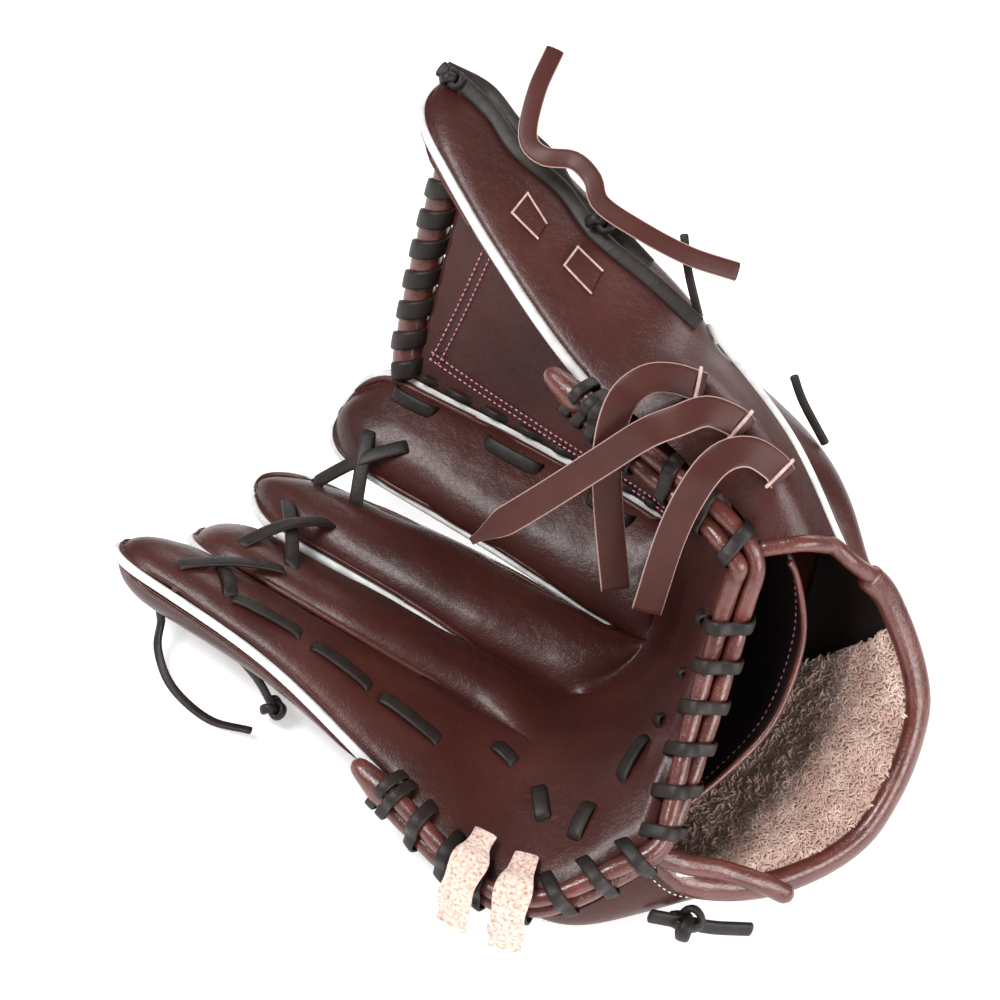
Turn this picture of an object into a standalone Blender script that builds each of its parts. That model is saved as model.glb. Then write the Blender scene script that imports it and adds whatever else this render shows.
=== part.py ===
"""Fielder's glove for the right hand, with a closed web, laced heel and open wrist.

The glove is drawn in its own hand frame: X runs across the palm from little finger to thumb, Y runs from the
heel to the fingertips and Z points out of the pocket. Seam lines run from the heel to the fingertips, and every
shell, pad, lining and lace is placed from the surface that those seam lines span. The whole glove hangs on one
empty, which turns it into the pose in which it rests on a table.
"""

import math

import bmesh
import bpy
import numpy as np
from mathutils import Euler, Vector

MM = 0.001

# Rest pose: the hand frame is turned by these angles, then raised so that the lowest point is at z = 0.
REST_TURN = (math.radians(-31.5), math.radians(-43.1), math.radians(74.6))
REST_SHIFT = (84.4 * MM, -63.2 * MM, 103.0 * MM)

# Seam lines in mm in the hand frame, at five stations: heel, mid palm, finger crotch, mid finger, tip.
SEAM = {
    "pinky_outer": ((-56, -1, -7), (-102, 27, 16), (-94, 90, 48), (-80, 153, 87), (-78, 222, 127)),
    "pinky_inner": ((-30, 6, -9), (-52, 53, -8), (-54, 105, 5), (-58, 165, 46), (-64, 229, 89)),
    "ring_outer": ((-30, 6, -9), (-52, 53, -8), (-54, 105, 5), (-57, 161, 43), (-60, 227, 87)),
    "ring_inner": ((2, 11, -7), (-17, 70, -42), (-33, 110, -30), (-39, 173, 5), (-48, 247, 50)),
    "middle_outer": ((2, 11, -7), (-17, 70, -42), (-33, 110, -30), (-33, 168, 6), (-36, 241, 45)),
    "middle_inner": ((27, 14, -2), (17, 75, -52), (11, 105, -48), (2, 178, -15), (-10, 259, 34)),
    "index_outer": ((27, 14, -2), (17, 75, -52), (11, 105, -48), (10, 167, -16), (9, 238, 21)),
    "index_inner": ((50, 15, 8), (53, 77, -39), (66, 108, -40), (65, 172, -15), (59, 239, 24)),
    "thumb_inner": ((61, 14, 15), (102, 68, 2), (139, 96, 21), (157, 156, 52), (172, 219, 96)),
    "thumb_outer": ((67, 13, 22), (78, 29, 34), (93, 94, 71), (125, 150, 97), (158, 208, 121)),
}
# Strips between two seam lines, from the little finger to the thumb.
STRIP = (
    ("pinky_outer", "pinky_inner"),
    ("ring_outer", "ring_inner"),
    ("middle_outer", "middle_inner"),
    ("index_outer", "index_inner"),
    ("index_inner", "thumb_inner"),
    ("thumb_inner", "thumb_outer"),
)
PINKY, RING, MIDDLE, INDEX, WEB, THUMB = range(6)
FINGER = {"pinky": PINKY, "ring": RING, "middle": MIDDLE, "index": INDEX, "thumb": THUMB}

# Back of the hand, outer surface in mm: wrist rim, mid back and knuckle line, from little finger to thumb.
BACK = (
    ((-58, -2, -8), (-106, 24, 8), (-96, 88, 40)),
    ((-62, -16, -36), (-104, 22, -18), (-92, 90, 12)),
    ((-42, -29, -70), (-68, 38, -66), (-58, 98, -26)),
    ((-2, -38, -91), (-6, 42, -98), (-20, 106, -62)),
    ((53, -31, -85), (52, 42, -92), (40, 106, -66)),
    ((86, -15, -46), (100, 32, -50), (112, 96, -32)),
    ((90, -8, -13), (118, 23, 22), (142, 88, 20)),
)
# Back of the thumb below its stall: the binding corner, the middle and the laced edge, at rim, mid and knuckle.
THUMB_BACK = (
    ((91, -5, -9), (119, 24, 26), (143, 90, 26)),
    ((84, -4, 12), (106, 18, 45), (128, 82, 60)),
    ((71, 8, 24), (82, 23, 38), (97, 90, 74)),
)

# Routes in mm in the hand frame.
LOOP_STRAPS = (
    ((116, 49, 59), (112, 54, 73), (105, 57, 83), (93, 61, 84), (76, 65, 72), (57, 69, 49), (27, 65, 18)),
    ((109, 24, 53), (110, 26, 58), (107, 31, 71), (97, 36, 78), (86, 45, 80), (68, 62, 74), (42, 84, 68), (12, 109, 63)),
    ((101, 7, 37), (103, 8, 45), (102, 12, 58), (94, 16, 66), (80, 21, 64), (58, 32, 47), (26, 43, 20)),
)
CURLED_LACE = ((209, 174, 112), (189, 168, 114), (170, 160, 112), (166, 150, 108), (171, 140, 101), (168, 129, 97),
               (161, 122, 92), (160, 108, 80), (162, 92, 62), (168, 80, 43))
PINKY_TAIL = ((-93, 216, 92), (-104, 209, 91), (-114, 195, 85), (-117, 176, 74), (-111, 160, 64))
THUMB_TAILS = (((148, 92, 40), (158, 98, 49), (170, 104, 57)), ((128, 27, 5), (135, 35, 15), (142, 41, 22)))
KNOTS = {
    "web_knot": ((157, 130, 78), 5.5),
    "pinky_lace_knot": ((-98, 162, 57), 5.5),
}
POCKET_OUT = np.array((0.1, -0.67, 0.74))
WRIST_LACE = ((-82, -6, -30), (-77, -14, -43), (-73, -20, -54), (-66, -27, -68))

CROTCH = 2.0          # station where the fingers part
TIP = {"pinky": 4.16, "ring": 4.14, "middle": 4.15, "index": 4.28, "thumb": 4.1}
CAP = 0.38            # length of a rounded fingertip, in stations
CAP_SHAPE = 0.85      # below 1, a fingertip is squarer than a half ellipse
STALL_EDGE = 0.965    # where a stall's leather ends, as a share of its half width
WELT_SHARE = (0.985, 0.87)
HALF_WELT = 1.75      # half the width of the white welt strip, mm
GAP = 0.4             # clearance between touching pieces, mm
EDGE_WALL = 1.5       # leather at a stall's edge, mm
DOME_POWER = 2.5      # fullness of a padded stall
FRONT_DOME = {"pinky": 12.0, "ring": 12.0, "middle": 12.0, "index": 12.5, "thumb": 11.0}
BACK_DOME = {"pinky": 15.0, "ring": 9.0, "middle": 9.0, "index": 10.0, "thumb": 6.5}
FRONT_WALL = 6.5      # padded leather on the pocket side, mm
BACK_WALL = 3.5       # leather and lining on the back, mm
PALM_TOP = 9.0        # outer face of the palm leather above the seam surface, mm
PALM_LEATHER = 2.6
PALM_LINING = 1.6
WEB_HALF = 2.0        # half the thickness of the web panel, mm
WEB_BAR_RADIUS = 6.0
ROLL_RADIUS = 3.9     # rolled leather edge, mm
ROLL_PITCH = 4.2      # from the middle of the laced edge to each roll's centre, mm
ROLL_LEVEL = 2.4      # the middle of the laced edge above the seam surface, mm
ROLL_OFF = 7.0        # from the palm's edge to the rolls, mm
LACE_RADIUS = 1.3
KNOB_RADIUS = 7.0
WRAP_PITCH = 19.0     # distance between turns of the heel lace, mm
STRAP_WIDTH = 13.0    # loop straps, mm
STRAP_THICK = 2.0
SUEDE_WIDTH = 14.0
BINDING_RADIUS = 4.3
BACK_SPAN = (0.35, 5.4)   # first and last column of BACK under the back panel and the wrist strap
WRIST_WALL = 3.0      # wrist strap leather, mm
STRAP_STATIONS = (0.115, 1.1)
WEB_STATIONS = (2.03, 3.87)
FLEECE_THICK = 7.5
PANEL_INSET = 4.4    # back panel inside the strap's outer surface, mm
FOLD_CENTRE = 0.42    # where the pocket folds, as a share of the web strip
FOLD_HALF = 7.5       # half the width of the folding leather, mm
LACE_CLEAR = (2.2, 2.9)   # heel lace outside the rolls, outwards and upwards, mm
LACE_START = 10       # from a roll's end to its first turn of lace, mm
KNOB_AHEAD = 8.5      # from a roll's end to its knob's centre, mm
TIP_LACE = (6.0, 2.0)    # width and thickness of the fingertip laces, mm
TIP_LACE_LIFT = 4.0
THUMB_LACE_RADIUS = 1.7
THUMB_LACE_SIDES = (-0.84, -0.62)
SUEDE_THICK = 2.4
# A suede end over the rolls: distance outwards and upwards in mm, and how far its face is turned outwards.
SUEDE_PROFILE = ((-17, 10.5, 0), (-8, 12.5, 0), (-1, 15.0, 0), (7, 12.0, 45), (12, 3.5, 80), (13, -6, 85), (14, -14, 85))
SUEDE_ENDS = ((0.8, -2.0), (0.848, 9.0))   # share of the laced edge, and lean in mm
FOLD_GAP = 2.5        # half the gap between the rolls that meet at the fold, mm

LEATHER = (0.115, 0.032, 0.024, 1.0)
LACE = (0.030, 0.024, 0.021, 1.0)
WELT = (0.78, 0.76, 0.72, 1.0)
FLEECE = (0.62, 0.42, 0.34, 1.0)
SUEDE = (0.50, 0.28, 0.21, 1.0)
FELT = (0.45, 0.40, 0.34, 1.0)
LINING = (0.035, 0.018, 0.016, 1.0)


# ---------------------------------------------------------------- surfaces
def catmull(p0, p1, p2, p3, t):
    """Point of the smooth curve through p1 and p2 at t from 0 to 1."""
    return 0.5 * (
        2 * p1
        + (p2 - p0) * t
        + (2 * p0 - 5 * p1 + 4 * p2 - p3) * t * t
        + (3 * p1 - p0 - 3 * p2 + p3) * t**3
    )


def along(line, station):
    """Point at a station of a line of points, on a smooth curve that runs straight on past its ends."""
    pts = np.asarray(line, float)
    last = len(pts) - 1
    i = int(min(max(math.floor(station), 0), last - 1))
    before = pts[i - 1] if i > 0 else 2 * pts[0] - pts[1]
    after = pts[i + 2] if i + 2 <= last else 2 * pts[last] - pts[last - 1]
    return catmull(before, pts[i], pts[i + 1], after, station - i)


def middle(strip, u, station):
    """Point of the seam surface: u runs from 0 at a strip's outer seam to 1 at its inner seam."""
    left, right = (along(SEAM[name], station) for name in STRIP[strip])
    if strip > 0:
        before = along(SEAM[STRIP[strip - 1][0]], station)
    else:
        before = 2 * left - right
    if strip < THUMB:
        after = along(SEAM[STRIP[strip + 1][1]], station)
    else:
        after = 2 * right - left
    return catmull(before, left, right, after, u)


def normal(strip, u, station):
    """Unit normal of the seam surface, into the pocket."""
    step = 0.02
    across = middle(strip, u + step, station) - middle(strip, u - step, station)
    forward = middle(strip, u, station + step) - middle(strip, u, station - step)
    n = np.cross(across, forward)
    return n / np.linalg.norm(n)


def point(strip, u, station, height):
    """Point at a height in mm above the seam surface; a negative height is on the back."""
    return middle(strip, u, station) + height * normal(strip, u, station)


def dome(share):
    """Height share of a padded stall at a distance share from its middle (0) to its edge (1)."""
    return math.sqrt(1.0 - min(share, 1.0) ** DOME_POWER)


def stall_rows(start, tip, count):
    """Places along a stall as a station and a cap angle: evenly spaced, then closing round the tip."""
    straight = [(start + (tip - CAP - start) * i / count, 0.0) for i in range(count)]
    return straight + [(tip - CAP, a) for a in np.radians([0, 28, 52, 70, 82])]


def stall_point(strip, side, row, height, scale=1.0):
    """Point of a stall: side runs from -1 to 1 across it, and scale draws its outline in or out."""
    station, cap = row
    across = side * math.cos(cap) ** CAP_SHAPE * scale
    forward = math.sin(cap) ** CAP_SHAPE * scale
    return point(strip, 0.5 + 0.5 * across, station + CAP * forward, height(dome(math.hypot(across, forward))))


def sweep(spots, step):
    """Points at equal distances along a smooth curve through the given ones, and the place of each among them."""
    fine = [i / 12 for i in range(12 * (len(spots) - 1) + 1)]
    line = np.array([along(spots, f) for f in fine])
    run = np.concatenate(([0.0], np.cumsum(np.linalg.norm(np.diff(line, axis=0), axis=1))))
    count = max(2, round(run[-1] / step))
    places = np.interp(np.linspace(0.0, run[-1], count + 1), run, fine)
    return [along(spots, f) for f in places], places


def back_surface(table, across, station, lift=0.0):
    """Point of the back of the hand, lifted outwards in mm."""
    def at(a, s):
        return along([along(column, s) for column in table], a)

    spot = at(across, station)
    if lift:
        step = 0.02
        n = np.cross(
            at(across, station + step) - at(across, station - step),
            at(across + step, station) - at(across - step, station),
        )
        spot = spot + lift * n / np.linalg.norm(n)
    return spot


# ---------------------------------------------------------------- objects
def material(name, colour, roughness):
    made = bpy.data.materials.new(name)
    made.use_nodes = True
    shader = made.node_tree.nodes["Principled BSDF"]
    shader.inputs["Base Color"].default_value = colour
    shader.inputs["Roughness"].default_value = roughness
    shader.inputs["Metallic"].default_value = 0.0
    return made


def place(name, data, skin):
    data.materials.append(skin)
    made = bpy.data.objects.new(name, data)
    bpy.context.scene.collection.objects.link(made)
    made.parent = HAND
    return made


def mesh_object(name, work, skin):
    bmesh.ops.recalc_face_normals(work, faces=work.faces)
    mesh = bpy.data.meshes.new(name)
    work.to_mesh(mesh)
    work.free()
    mesh.shade_smooth()
    mesh.set_sharp_from_angle(angle=math.radians(40))
    return place(name, mesh, skin)


def solid(name, outer, inner, skin):
    """Closed shell between two grids of points in mm, given as rows of the same length."""
    rows, columns = len(outer), len(outer[0])
    work = bmesh.new()
    tops = [[work.verts.new(Vector(p) * MM) for p in row] for row in outer]
    bottoms = [[work.verts.new(Vector(p) * MM) for p in row] for row in inner]
    for i in range(rows - 1):
        for j in range(columns - 1):
            work.faces.new((tops[i][j], tops[i][j + 1], tops[i + 1][j + 1], tops[i + 1][j]))
            work.faces.new((bottoms[i][j], bottoms[i + 1][j], bottoms[i + 1][j + 1], bottoms[i][j + 1]))
    rim = [(0, j) for j in range(columns - 1)]
    rim += [(i, columns - 1) for i in range(rows - 1)]
    rim += [(rows - 1, j) for j in range(columns - 1, 0, -1)]
    rim += [(i, 0) for i in range(rows - 1, 0, -1)]
    for (i, j), (k, m) in zip(rim, rim[1:] + rim[:1]):
        work.faces.new((tops[i][j], bottoms[i][j], bottoms[k][m], tops[k][m]))
    return mesh_object(name, work, skin)


def tube(name, path, radius, skin, resolution=1):
    """Round cord along a path in mm."""
    data = bpy.data.curves.new(name, "CURVE")
    data.dimensions = "3D"
    data.bevel_depth = radius * MM
    data.bevel_resolution = resolution
    data.use_fill_caps = True
    spline = data.splines.new("POLY")
    spline.points.add(len(path) - 1)
    for spot, p in zip(spline.points, path):
        spot.co = (*(Vector(p) * MM), 1.0)
    return place(name, data, skin)


def ribbon(name, path, ups, width, thick, skin):
    """Flat strap along a path in mm; ups gives the way its face looks at each point."""
    outer, inner = [], []
    for i, p in enumerate(path):
        ahead = path[min(i + 1, len(path) - 1)] - path[max(i - 1, 0)]
        side = np.cross(ahead, ups[i])
        side = side / np.linalg.norm(side)
        up = np.cross(side, ahead)
        up = up / np.linalg.norm(up)
        outer.append([p + side * w * width / 2 + up * thick / 2 for w in (-1, 1)])
        inner.append([p + side * w * width / 2 - up * thick / 2 for w in (-1, 1)])
    return solid(name, outer, inner, skin)


def ball(name, centre, radius, skin):
    """Knot or knob: a rounded lump in mm."""
    work = bmesh.new()
    bmesh.ops.create_icosphere(work, subdivisions=2, radius=1.0)
    for vert in work.verts:
        vert.co = Vector([(c + v * radius) * MM for c, v in zip(centre, vert.co)])
    return mesh_object(name, work, skin)


# ---------------------------------------------------------------- the glove
def fold_share(station, side):
    """Share of the web strip where the folding leather starts (side -1) or ends (side 1)."""
    left, right = (along(SEAM[name], station) for name in STRIP[WEB])
    return FOLD_CENTRE + side * min(FOLD_HALF / np.linalg.norm(right - left), 0.3)


def columns_at(begin, end, steps):
    """Columns of the palm between two places counted in strips."""
    places = [begin + (end - begin) * i / steps for i in range(steps + 1)]
    return [(min(int(p), THUMB), p - min(int(p), THUMB)) for p in places]


def hand_columns(station):
    return columns_at(0.06, WEB + fold_share(station, -1) - 0.01, 16)


def fold_columns(station):
    return columns_at(WEB + fold_share(station, -1), WEB + fold_share(station, 1), 2)


def thumb_columns(station):
    return columns_at(WEB + fold_share(station, 1) + 0.01, THUMB + 0.94, 7)


def palm_layer(name, columns, stations, trim, low, high, skin):
    """Layer of the palm between two heights, with a number of columns trimmed off each side."""
    grid = [(s, columns(s)[trim:-trim] if trim else columns(s)) for s in stations]
    solid(name,
          [[point(strip, u, s, high) for strip, u in row] for s, row in grid],
          [[point(strip, u, s, low) for strip, u in row] for s, row in grid], skin)


def make_palm(leather, lining, pad):
    """Palm leather, felt heel pads and lining, in a finger side and a thumb side with a folding strip between."""
    stations = np.linspace(0.06, 1.99, 8)
    under = PALM_TOP - PALM_LEATHER
    palm_layer("palm_shell", hand_columns, stations, 0, under, PALM_TOP, leather)
    palm_layer("palm_pad", hand_columns, stations[1:-1], 1, PALM_LINING, under - GAP, pad)
    palm_layer("palm_lining", hand_columns, stations, 0, -GAP, PALM_LINING - GAP, lining)
    palm_layer("palm_fold", fold_columns, stations, 0, under, PALM_TOP, leather)
    palm_layer("thumb_heel_shell", thumb_columns, stations, 0, under, PALM_TOP, leather)
    palm_layer("thumb_pad", thumb_columns, stations[1:-1], 1, PALM_LINING, under - GAP, pad)


def make_stall(name, strip, leather, welt):
    """Front, back and welt of one finger stall, open at the palm end."""
    sides = [-1.0, -0.85, -0.5, 0.0, 0.5, 0.85, 1.0]
    rows = stall_rows(CROTCH + 0.006, TIP[name], 5)
    rise = HALF_WELT + GAP
    front, back = FRONT_DOME[name], BACK_DOME[name]

    def grid(height):
        return [[stall_point(strip, s, row, height, STALL_EDGE) for s in sides] for row in rows]

    solid(f"{name}_front",
          grid(lambda d: rise + EDGE_WALL + front * d),
          grid(lambda d: rise + max(0.0, EDGE_WALL + front * d - FRONT_WALL)), leather)
    solid(f"{name}_back",
          grid(lambda d: -rise - EDGE_WALL - back * d),
          grid(lambda d: -rise - max(0.0, EDGE_WALL + back * d - BACK_WALL)), leather)
    ring = [(row, -1.0) for row in rows] + [(row, 1.0) for row in reversed(rows)]

    def strip_grid(share):
        return [[stall_point(strip, side, row, lambda d: h, share) for h in (-HALF_WELT, HALF_WELT)]
                for row, side in ring]

    solid(f"{name}_welt", strip_grid(WELT_SHARE[0]), strip_grid(WELT_SHARE[1]), welt)


def make_web(leather, lace):
    """Closed web between index finger and thumb, in two halves with a folding strip between them."""
    def panel(name, begin, end, steps):
        rows = []
        for i in range(8):
            station = WEB_STATIONS[0] + (WEB_STATIONS[1] - WEB_STATIONS[0]) * i / 7
            rows.append([(begin(station) + (end(station) - begin(station)) * j / steps, station)
                         for j in range(steps + 1)])
        solid(name,
              [[point(WEB, u, s, WEB_HALF) for u, s in row] for row in rows],
              [[point(WEB, u, s, -WEB_HALF) for u, s in row] for row in rows], leather)

    panel("web_index_side", lambda s: 0.1, lambda s: fold_share(s, -1) - 0.006, 4)
    panel("web_fold", lambda s: fold_share(s, -1), lambda s: fold_share(s, 1), 2)
    panel("web_thumb_side", lambda s: fold_share(s, 1) + 0.006, lambda s: 0.93, 5)
    half_gap = FOLD_GAP / np.linalg.norm(middle(WEB, 0.0, 4.0) - middle(WEB, 1.0, 4.0))
    for name, begin, end in (("web_bar_index", 0.07, FOLD_CENTRE - half_gap),
                             ("web_bar_thumb", FOLD_CENTRE + half_gap, 0.9)):
        bar = [point(WEB, u, 3.98 + 0.07 * math.sin(math.pi * u), 0.0) for u in np.linspace(begin, end, 7)]
        tube(name, bar, WEB_BAR_RADIUS, lace, 2)
    tube("web_index_lace", [point(WEB, 0.06, 2.1 + 0.25 * i, 0.0) for i in range(8)], LACE_RADIUS, lace)


def make_backs(leather):
    """Panel over the back of the hand, the folding strip beside the thumb and the back of the thumb."""
    def panel(name, table, places, stations, inset):
        solid(name,
              [[back_surface(table, a, s, -inset) for a in places] for s in stations],
              [[back_surface(table, a, s, -inset - BACK_WALL) for a in places] for s in stations], leather)

    panel("back_panel", BACK, np.linspace(*BACK_SPAN, 19), np.linspace(1.0, 1.93, 6), PANEL_INSET)
    panel("back_fold", BACK, np.linspace(5.5, 5.93, 3), np.linspace(0.14, 1.93, 7), 0.0)
    panel("thumb_heel_back", THUMB_BACK, np.linspace(0.03, 1.78, 7), np.linspace(0.16, 1.93, 7), 0.0)


def make_strap(leather, fleece):
    """Wrist strap with its rolled rim, fleece lining and the end of its binding."""
    places = np.linspace(*BACK_SPAN, 19)
    stations = np.linspace(*STRAP_STATIONS, 5)
    solid("wrist_strap",
          [[back_surface(BACK, a, s) for a in places] for s in stations],
          [[back_surface(BACK, a, s, -WRIST_WALL) for a in places] for s in stations], leather)
    places, stations = places[1:-1], stations[:-1] + 0.01
    solid("strap_fleece",
          [[back_surface(BACK, a, s, -WRIST_WALL - GAP) for a in places] for s in stations],
          [[back_surface(BACK, a, s, -WRIST_WALL - GAP - FLEECE_THICK) for a in places] for s in stations], fleece)
    rim = [back_surface(BACK, a, 0.0, -WRIST_WALL / 2) for a in np.linspace(*BACK_SPAN, 22)]
    tube("strap_binding", rim, BINDING_RADIUS, leather, 2)


def boundary_spots():
    """Places along the laced edge, from the thumb's knob round the heel to the little finger's knob."""
    spots = [(THUMB, 1.0, s) for s in (1.98, 1.7, 1.4, 1.1, 0.8, 0.5, 0.25)]
    for place in (5.95, 5.5, 5.0, WEB + FOLD_CENTRE, 3.8, 3.0, 2.2, 1.5, 0.8, 0.3, 0.08):
        strip = min(int(place), THUMB)
        spots.append((strip, place - strip, 0.0))
    return spots + [(PINKY, 0.0, s) for s in (0.3, 0.55, 0.85, 1.15, 1.45, 1.75, 1.98)]


FOLD_SPOT = 10        # place of the fold among the boundary spots


def boundary(step):
    """Frames along the laced edge at equal distances: centre, outward and upward, and the fold's place."""
    spots = boundary_spots()
    edge = [point(strip, u, s, ROLL_LEVEL) for strip, u, s in spots]
    up = [normal(strip, u, s) for strip, u, s in spots]
    centres, outs = [], []
    for i, spot in enumerate(edge):
        out = np.cross(up[i], edge[min(i + 1, len(edge) - 1)] - edge[max(i - 1, 0)])
        outs.append(out / np.linalg.norm(out))
        centres.append(spot + outs[i] * ROLL_OFF)
    line, places = sweep(centres, step)
    frames = []
    for i, spot in enumerate(line):
        ahead = line[min(i + 1, len(line) - 1)] - line[max(i - 1, 0)]
        rise = along(up, places[i])
        rise = rise - ahead * (rise @ ahead) / (ahead @ ahead)
        rise = rise / np.linalg.norm(rise)
        out = np.cross(rise, ahead)
        frames.append((spot, out / np.linalg.norm(out), rise))
    return frames, int(np.argmin(abs(places - FOLD_SPOT)))


def at_frame(frame, out, rise):
    return frame[0] + frame[1] * out + frame[2] * rise


def make_rolls(leather, lace):
    """Two rolled leather edges laced together round the heel, parted at the pocket's fold."""
    frames, fold = boundary(1.0)
    runs = {"thumb": frames[:fold - int(FOLD_GAP)], "heel": frames[fold + int(FOLD_GAP):]}
    for part, run in runs.items():
        coarse = run[::8] + run[-1:] if (len(run) - 1) % 8 else run[::8]
        for name, side in (("front", 1), ("inner", -1)):
            tube(f"{part}_roll_{name}", [at_frame(f, 0.0, side * ROLL_PITCH) for f in coarse], ROLL_RADIUS, leather)
        turns = round((len(run) - 16) / WRAP_PITCH)
        count = turns * 10
        spots = []
        for i in range(count + 1):
            frame = run[LACE_START + round((len(run) - 2 * LACE_START - 1) * i / count)]
            angle = 2 * math.pi * turns * i / count
            spots.append(at_frame(frame, (ROLL_RADIUS + LACE_CLEAR[0]) * math.cos(angle),
                                  (ROLL_PITCH + ROLL_RADIUS + LACE_CLEAR[1]) * math.sin(angle)))
        tube(f"{part}_lace", spots, LACE_RADIUS, lace, 0)
    for name, frame, ahead in (("thumb_knob", frames[0], frames[0][0] - frames[6][0]),
                               ("pinky_knob", frames[-1], frames[-1][0] - frames[-7][0])):
        ball(name, frame[0] + ahead / np.linalg.norm(ahead) * KNOB_AHEAD, KNOB_RADIUS, leather)


def make_straps(leather, suede):
    """Three thumb-loop straps hanging into the pocket and two suede ends over the little finger's heel."""
    for i, route in enumerate(LOOP_STRAPS, 1):
        path, _ = sweep(route, 9.0)
        ribbon(f"thumb_loop_strap_{i}", path, [POCKET_OUT] * len(path), STRAP_WIDTH, STRAP_THICK, leather)
    frames, _ = boundary(1.0)
    for i, (share, lean) in enumerate(SUEDE_ENDS, 1):
        frame = frames[round(share * (len(frames) - 1))]
        ahead = np.cross(frame[1], frame[2])
        path, ups = [], []
        for k, (out, rise, tilt) in enumerate(SUEDE_PROFILE):
            path.append(at_frame(frame, out, rise) + ahead * lean * (1 - k / 6))
            ups.append(frame[2] * math.cos(math.radians(tilt)) + frame[1] * math.sin(math.radians(tilt)))
        ribbon(f"pinky_loop_end_{i}", path, ups, SUEDE_WIDTH, SUEDE_THICK, suede)


def behind_thumb(side, station, lift):
    """Point over the back of the thumb's stall."""
    rise = HALF_WELT + GAP + EDGE_WALL
    return stall_point(THUMB, side, (station, 0.0), lambda d: -rise - BACK_DOME["thumb"] * d - lift, STALL_EDGE)


def make_laces(lace):
    """Fingertip laces, thumb laces, knots and free lace ends."""
    rise = HALF_WELT + GAP + EDGE_WALL

    def over(name, side, station, lift):
        return stall_point(FINGER[name], side, (station, 0.0), lambda d: rise + FRONT_DOME[name] * d + lift, STALL_EDGE)

    for name, other in (("index", "middle"), ("middle", "ring"), ("ring", "pinky")):
        start = [over(other, s, 3.52 - 0.04 * k, TIP_LACE_LIFT) for k, s in enumerate((0.45, 0.8))]
        end = [over(name, s, 3.4 - 0.04 * k, TIP_LACE_LIFT) for k, s in enumerate((-0.8, -0.45))]
        crossing = (start[-1] + end[0]) / 2 + 1.5 * normal(FINGER[name], 0.0, 3.45)
        path, _ = sweep(start + [crossing] + end, 5.0)
        ribbon(f"tip_lace_{name}", path, [normal(FINGER[name], 0.0, 3.45)] * len(path), *TIP_LACE, lace)
    for i, side in enumerate(THUMB_LACE_SIDES, 1):
        tube(f"thumb_back_lace_{i}", [behind_thumb(side, station, 2.7) for station in np.linspace(2.2, 3.65, 8)],
             THUMB_LACE_RADIUS, lace)
    tip = stall_point(THUMB, 0.0, (TIP["thumb"] - CAP, 0.9), lambda d: -rise - BACK_DOME["thumb"] * d - 6.5)
    for name, (centre, radius) in {"thumb_tip_knot": (tip, 5.5), **KNOTS}.items():
        ball(name, centre, radius, lace)
    for name, route, radius in (("curled_lace", CURLED_LACE, 2.0), ("pinky_tail_lace", PINKY_TAIL, 1.8),
                                ("thumb_tail_1", THUMB_TAILS[0], 1.8), ("thumb_tail_2", THUMB_TAILS[1], 1.8),
                                ("wrist_lace", WRIST_LACE, 3.0)):
        path, _ = sweep(route, 8.0)
        tube(name, path, radius, lace, 2)


def main():
    leather = material("shell_leather", LEATHER, 0.42)
    lining = material("lining_leather", LINING, 0.6)
    pad = material("felt_pad", FELT, 0.95)
    welt = material("welt", WELT, 0.7)
    lace = material("lace", LACE, 0.5)
    fleece = material("fleece", FLEECE, 1.0)
    suede = material("suede", SUEDE, 0.95)
    make_palm(leather, lining, pad)
    for name, strip in FINGER.items():
        make_stall(name, strip, leather, welt)
    make_web(leather, lace)
    make_backs(leather)
    make_strap(leather, fleece)
    make_rolls(leather, lace)
    make_straps(leather, suede)
    make_laces(lace)


for old in list(bpy.data.objects):
    bpy.data.objects.remove(old, do_unlink=True)
HAND = bpy.data.objects.new("hand_frame", None)
bpy.context.scene.collection.objects.link(HAND)
HAND.rotation_euler = Euler(REST_TURN)
HAND.location = REST_SHIFT
main()
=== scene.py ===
"""Fielder's glove for the right hand, in its finished leather, laces, welting and fleece.

Every surface is drawn in the glove's hand frame in mm: X runs across the palm from little finger to thumb,
Y from the heel to the fingertips and Z out of the pocket. world() turns that frame into the pose at rest.
"""

import math

import bmesh
import bpy
import numpy as np
from mathutils import Euler, Matrix, Vector, noise

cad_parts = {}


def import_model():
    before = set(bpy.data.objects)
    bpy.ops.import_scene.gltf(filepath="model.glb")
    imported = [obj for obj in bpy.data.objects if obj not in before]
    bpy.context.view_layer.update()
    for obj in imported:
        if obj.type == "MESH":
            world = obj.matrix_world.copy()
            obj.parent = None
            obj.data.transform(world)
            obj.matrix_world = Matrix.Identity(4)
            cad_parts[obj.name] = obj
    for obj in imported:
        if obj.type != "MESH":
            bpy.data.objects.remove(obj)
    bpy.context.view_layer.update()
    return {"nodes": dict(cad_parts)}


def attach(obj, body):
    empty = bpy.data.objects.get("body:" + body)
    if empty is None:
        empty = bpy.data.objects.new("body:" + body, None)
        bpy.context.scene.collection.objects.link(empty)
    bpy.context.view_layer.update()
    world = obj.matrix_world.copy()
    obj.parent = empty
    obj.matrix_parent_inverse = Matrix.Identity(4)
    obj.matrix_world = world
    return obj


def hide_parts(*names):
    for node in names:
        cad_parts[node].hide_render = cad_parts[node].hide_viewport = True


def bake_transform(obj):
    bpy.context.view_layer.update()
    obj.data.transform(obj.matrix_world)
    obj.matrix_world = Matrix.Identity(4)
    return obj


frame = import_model()

MM = 0.001
REST_TURN = np.array(Euler((math.radians(-31.5), math.radians(-43.1), math.radians(74.6))).to_matrix())
REST_SHIFT = np.array((84.4, -63.2, 103.0))

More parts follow.
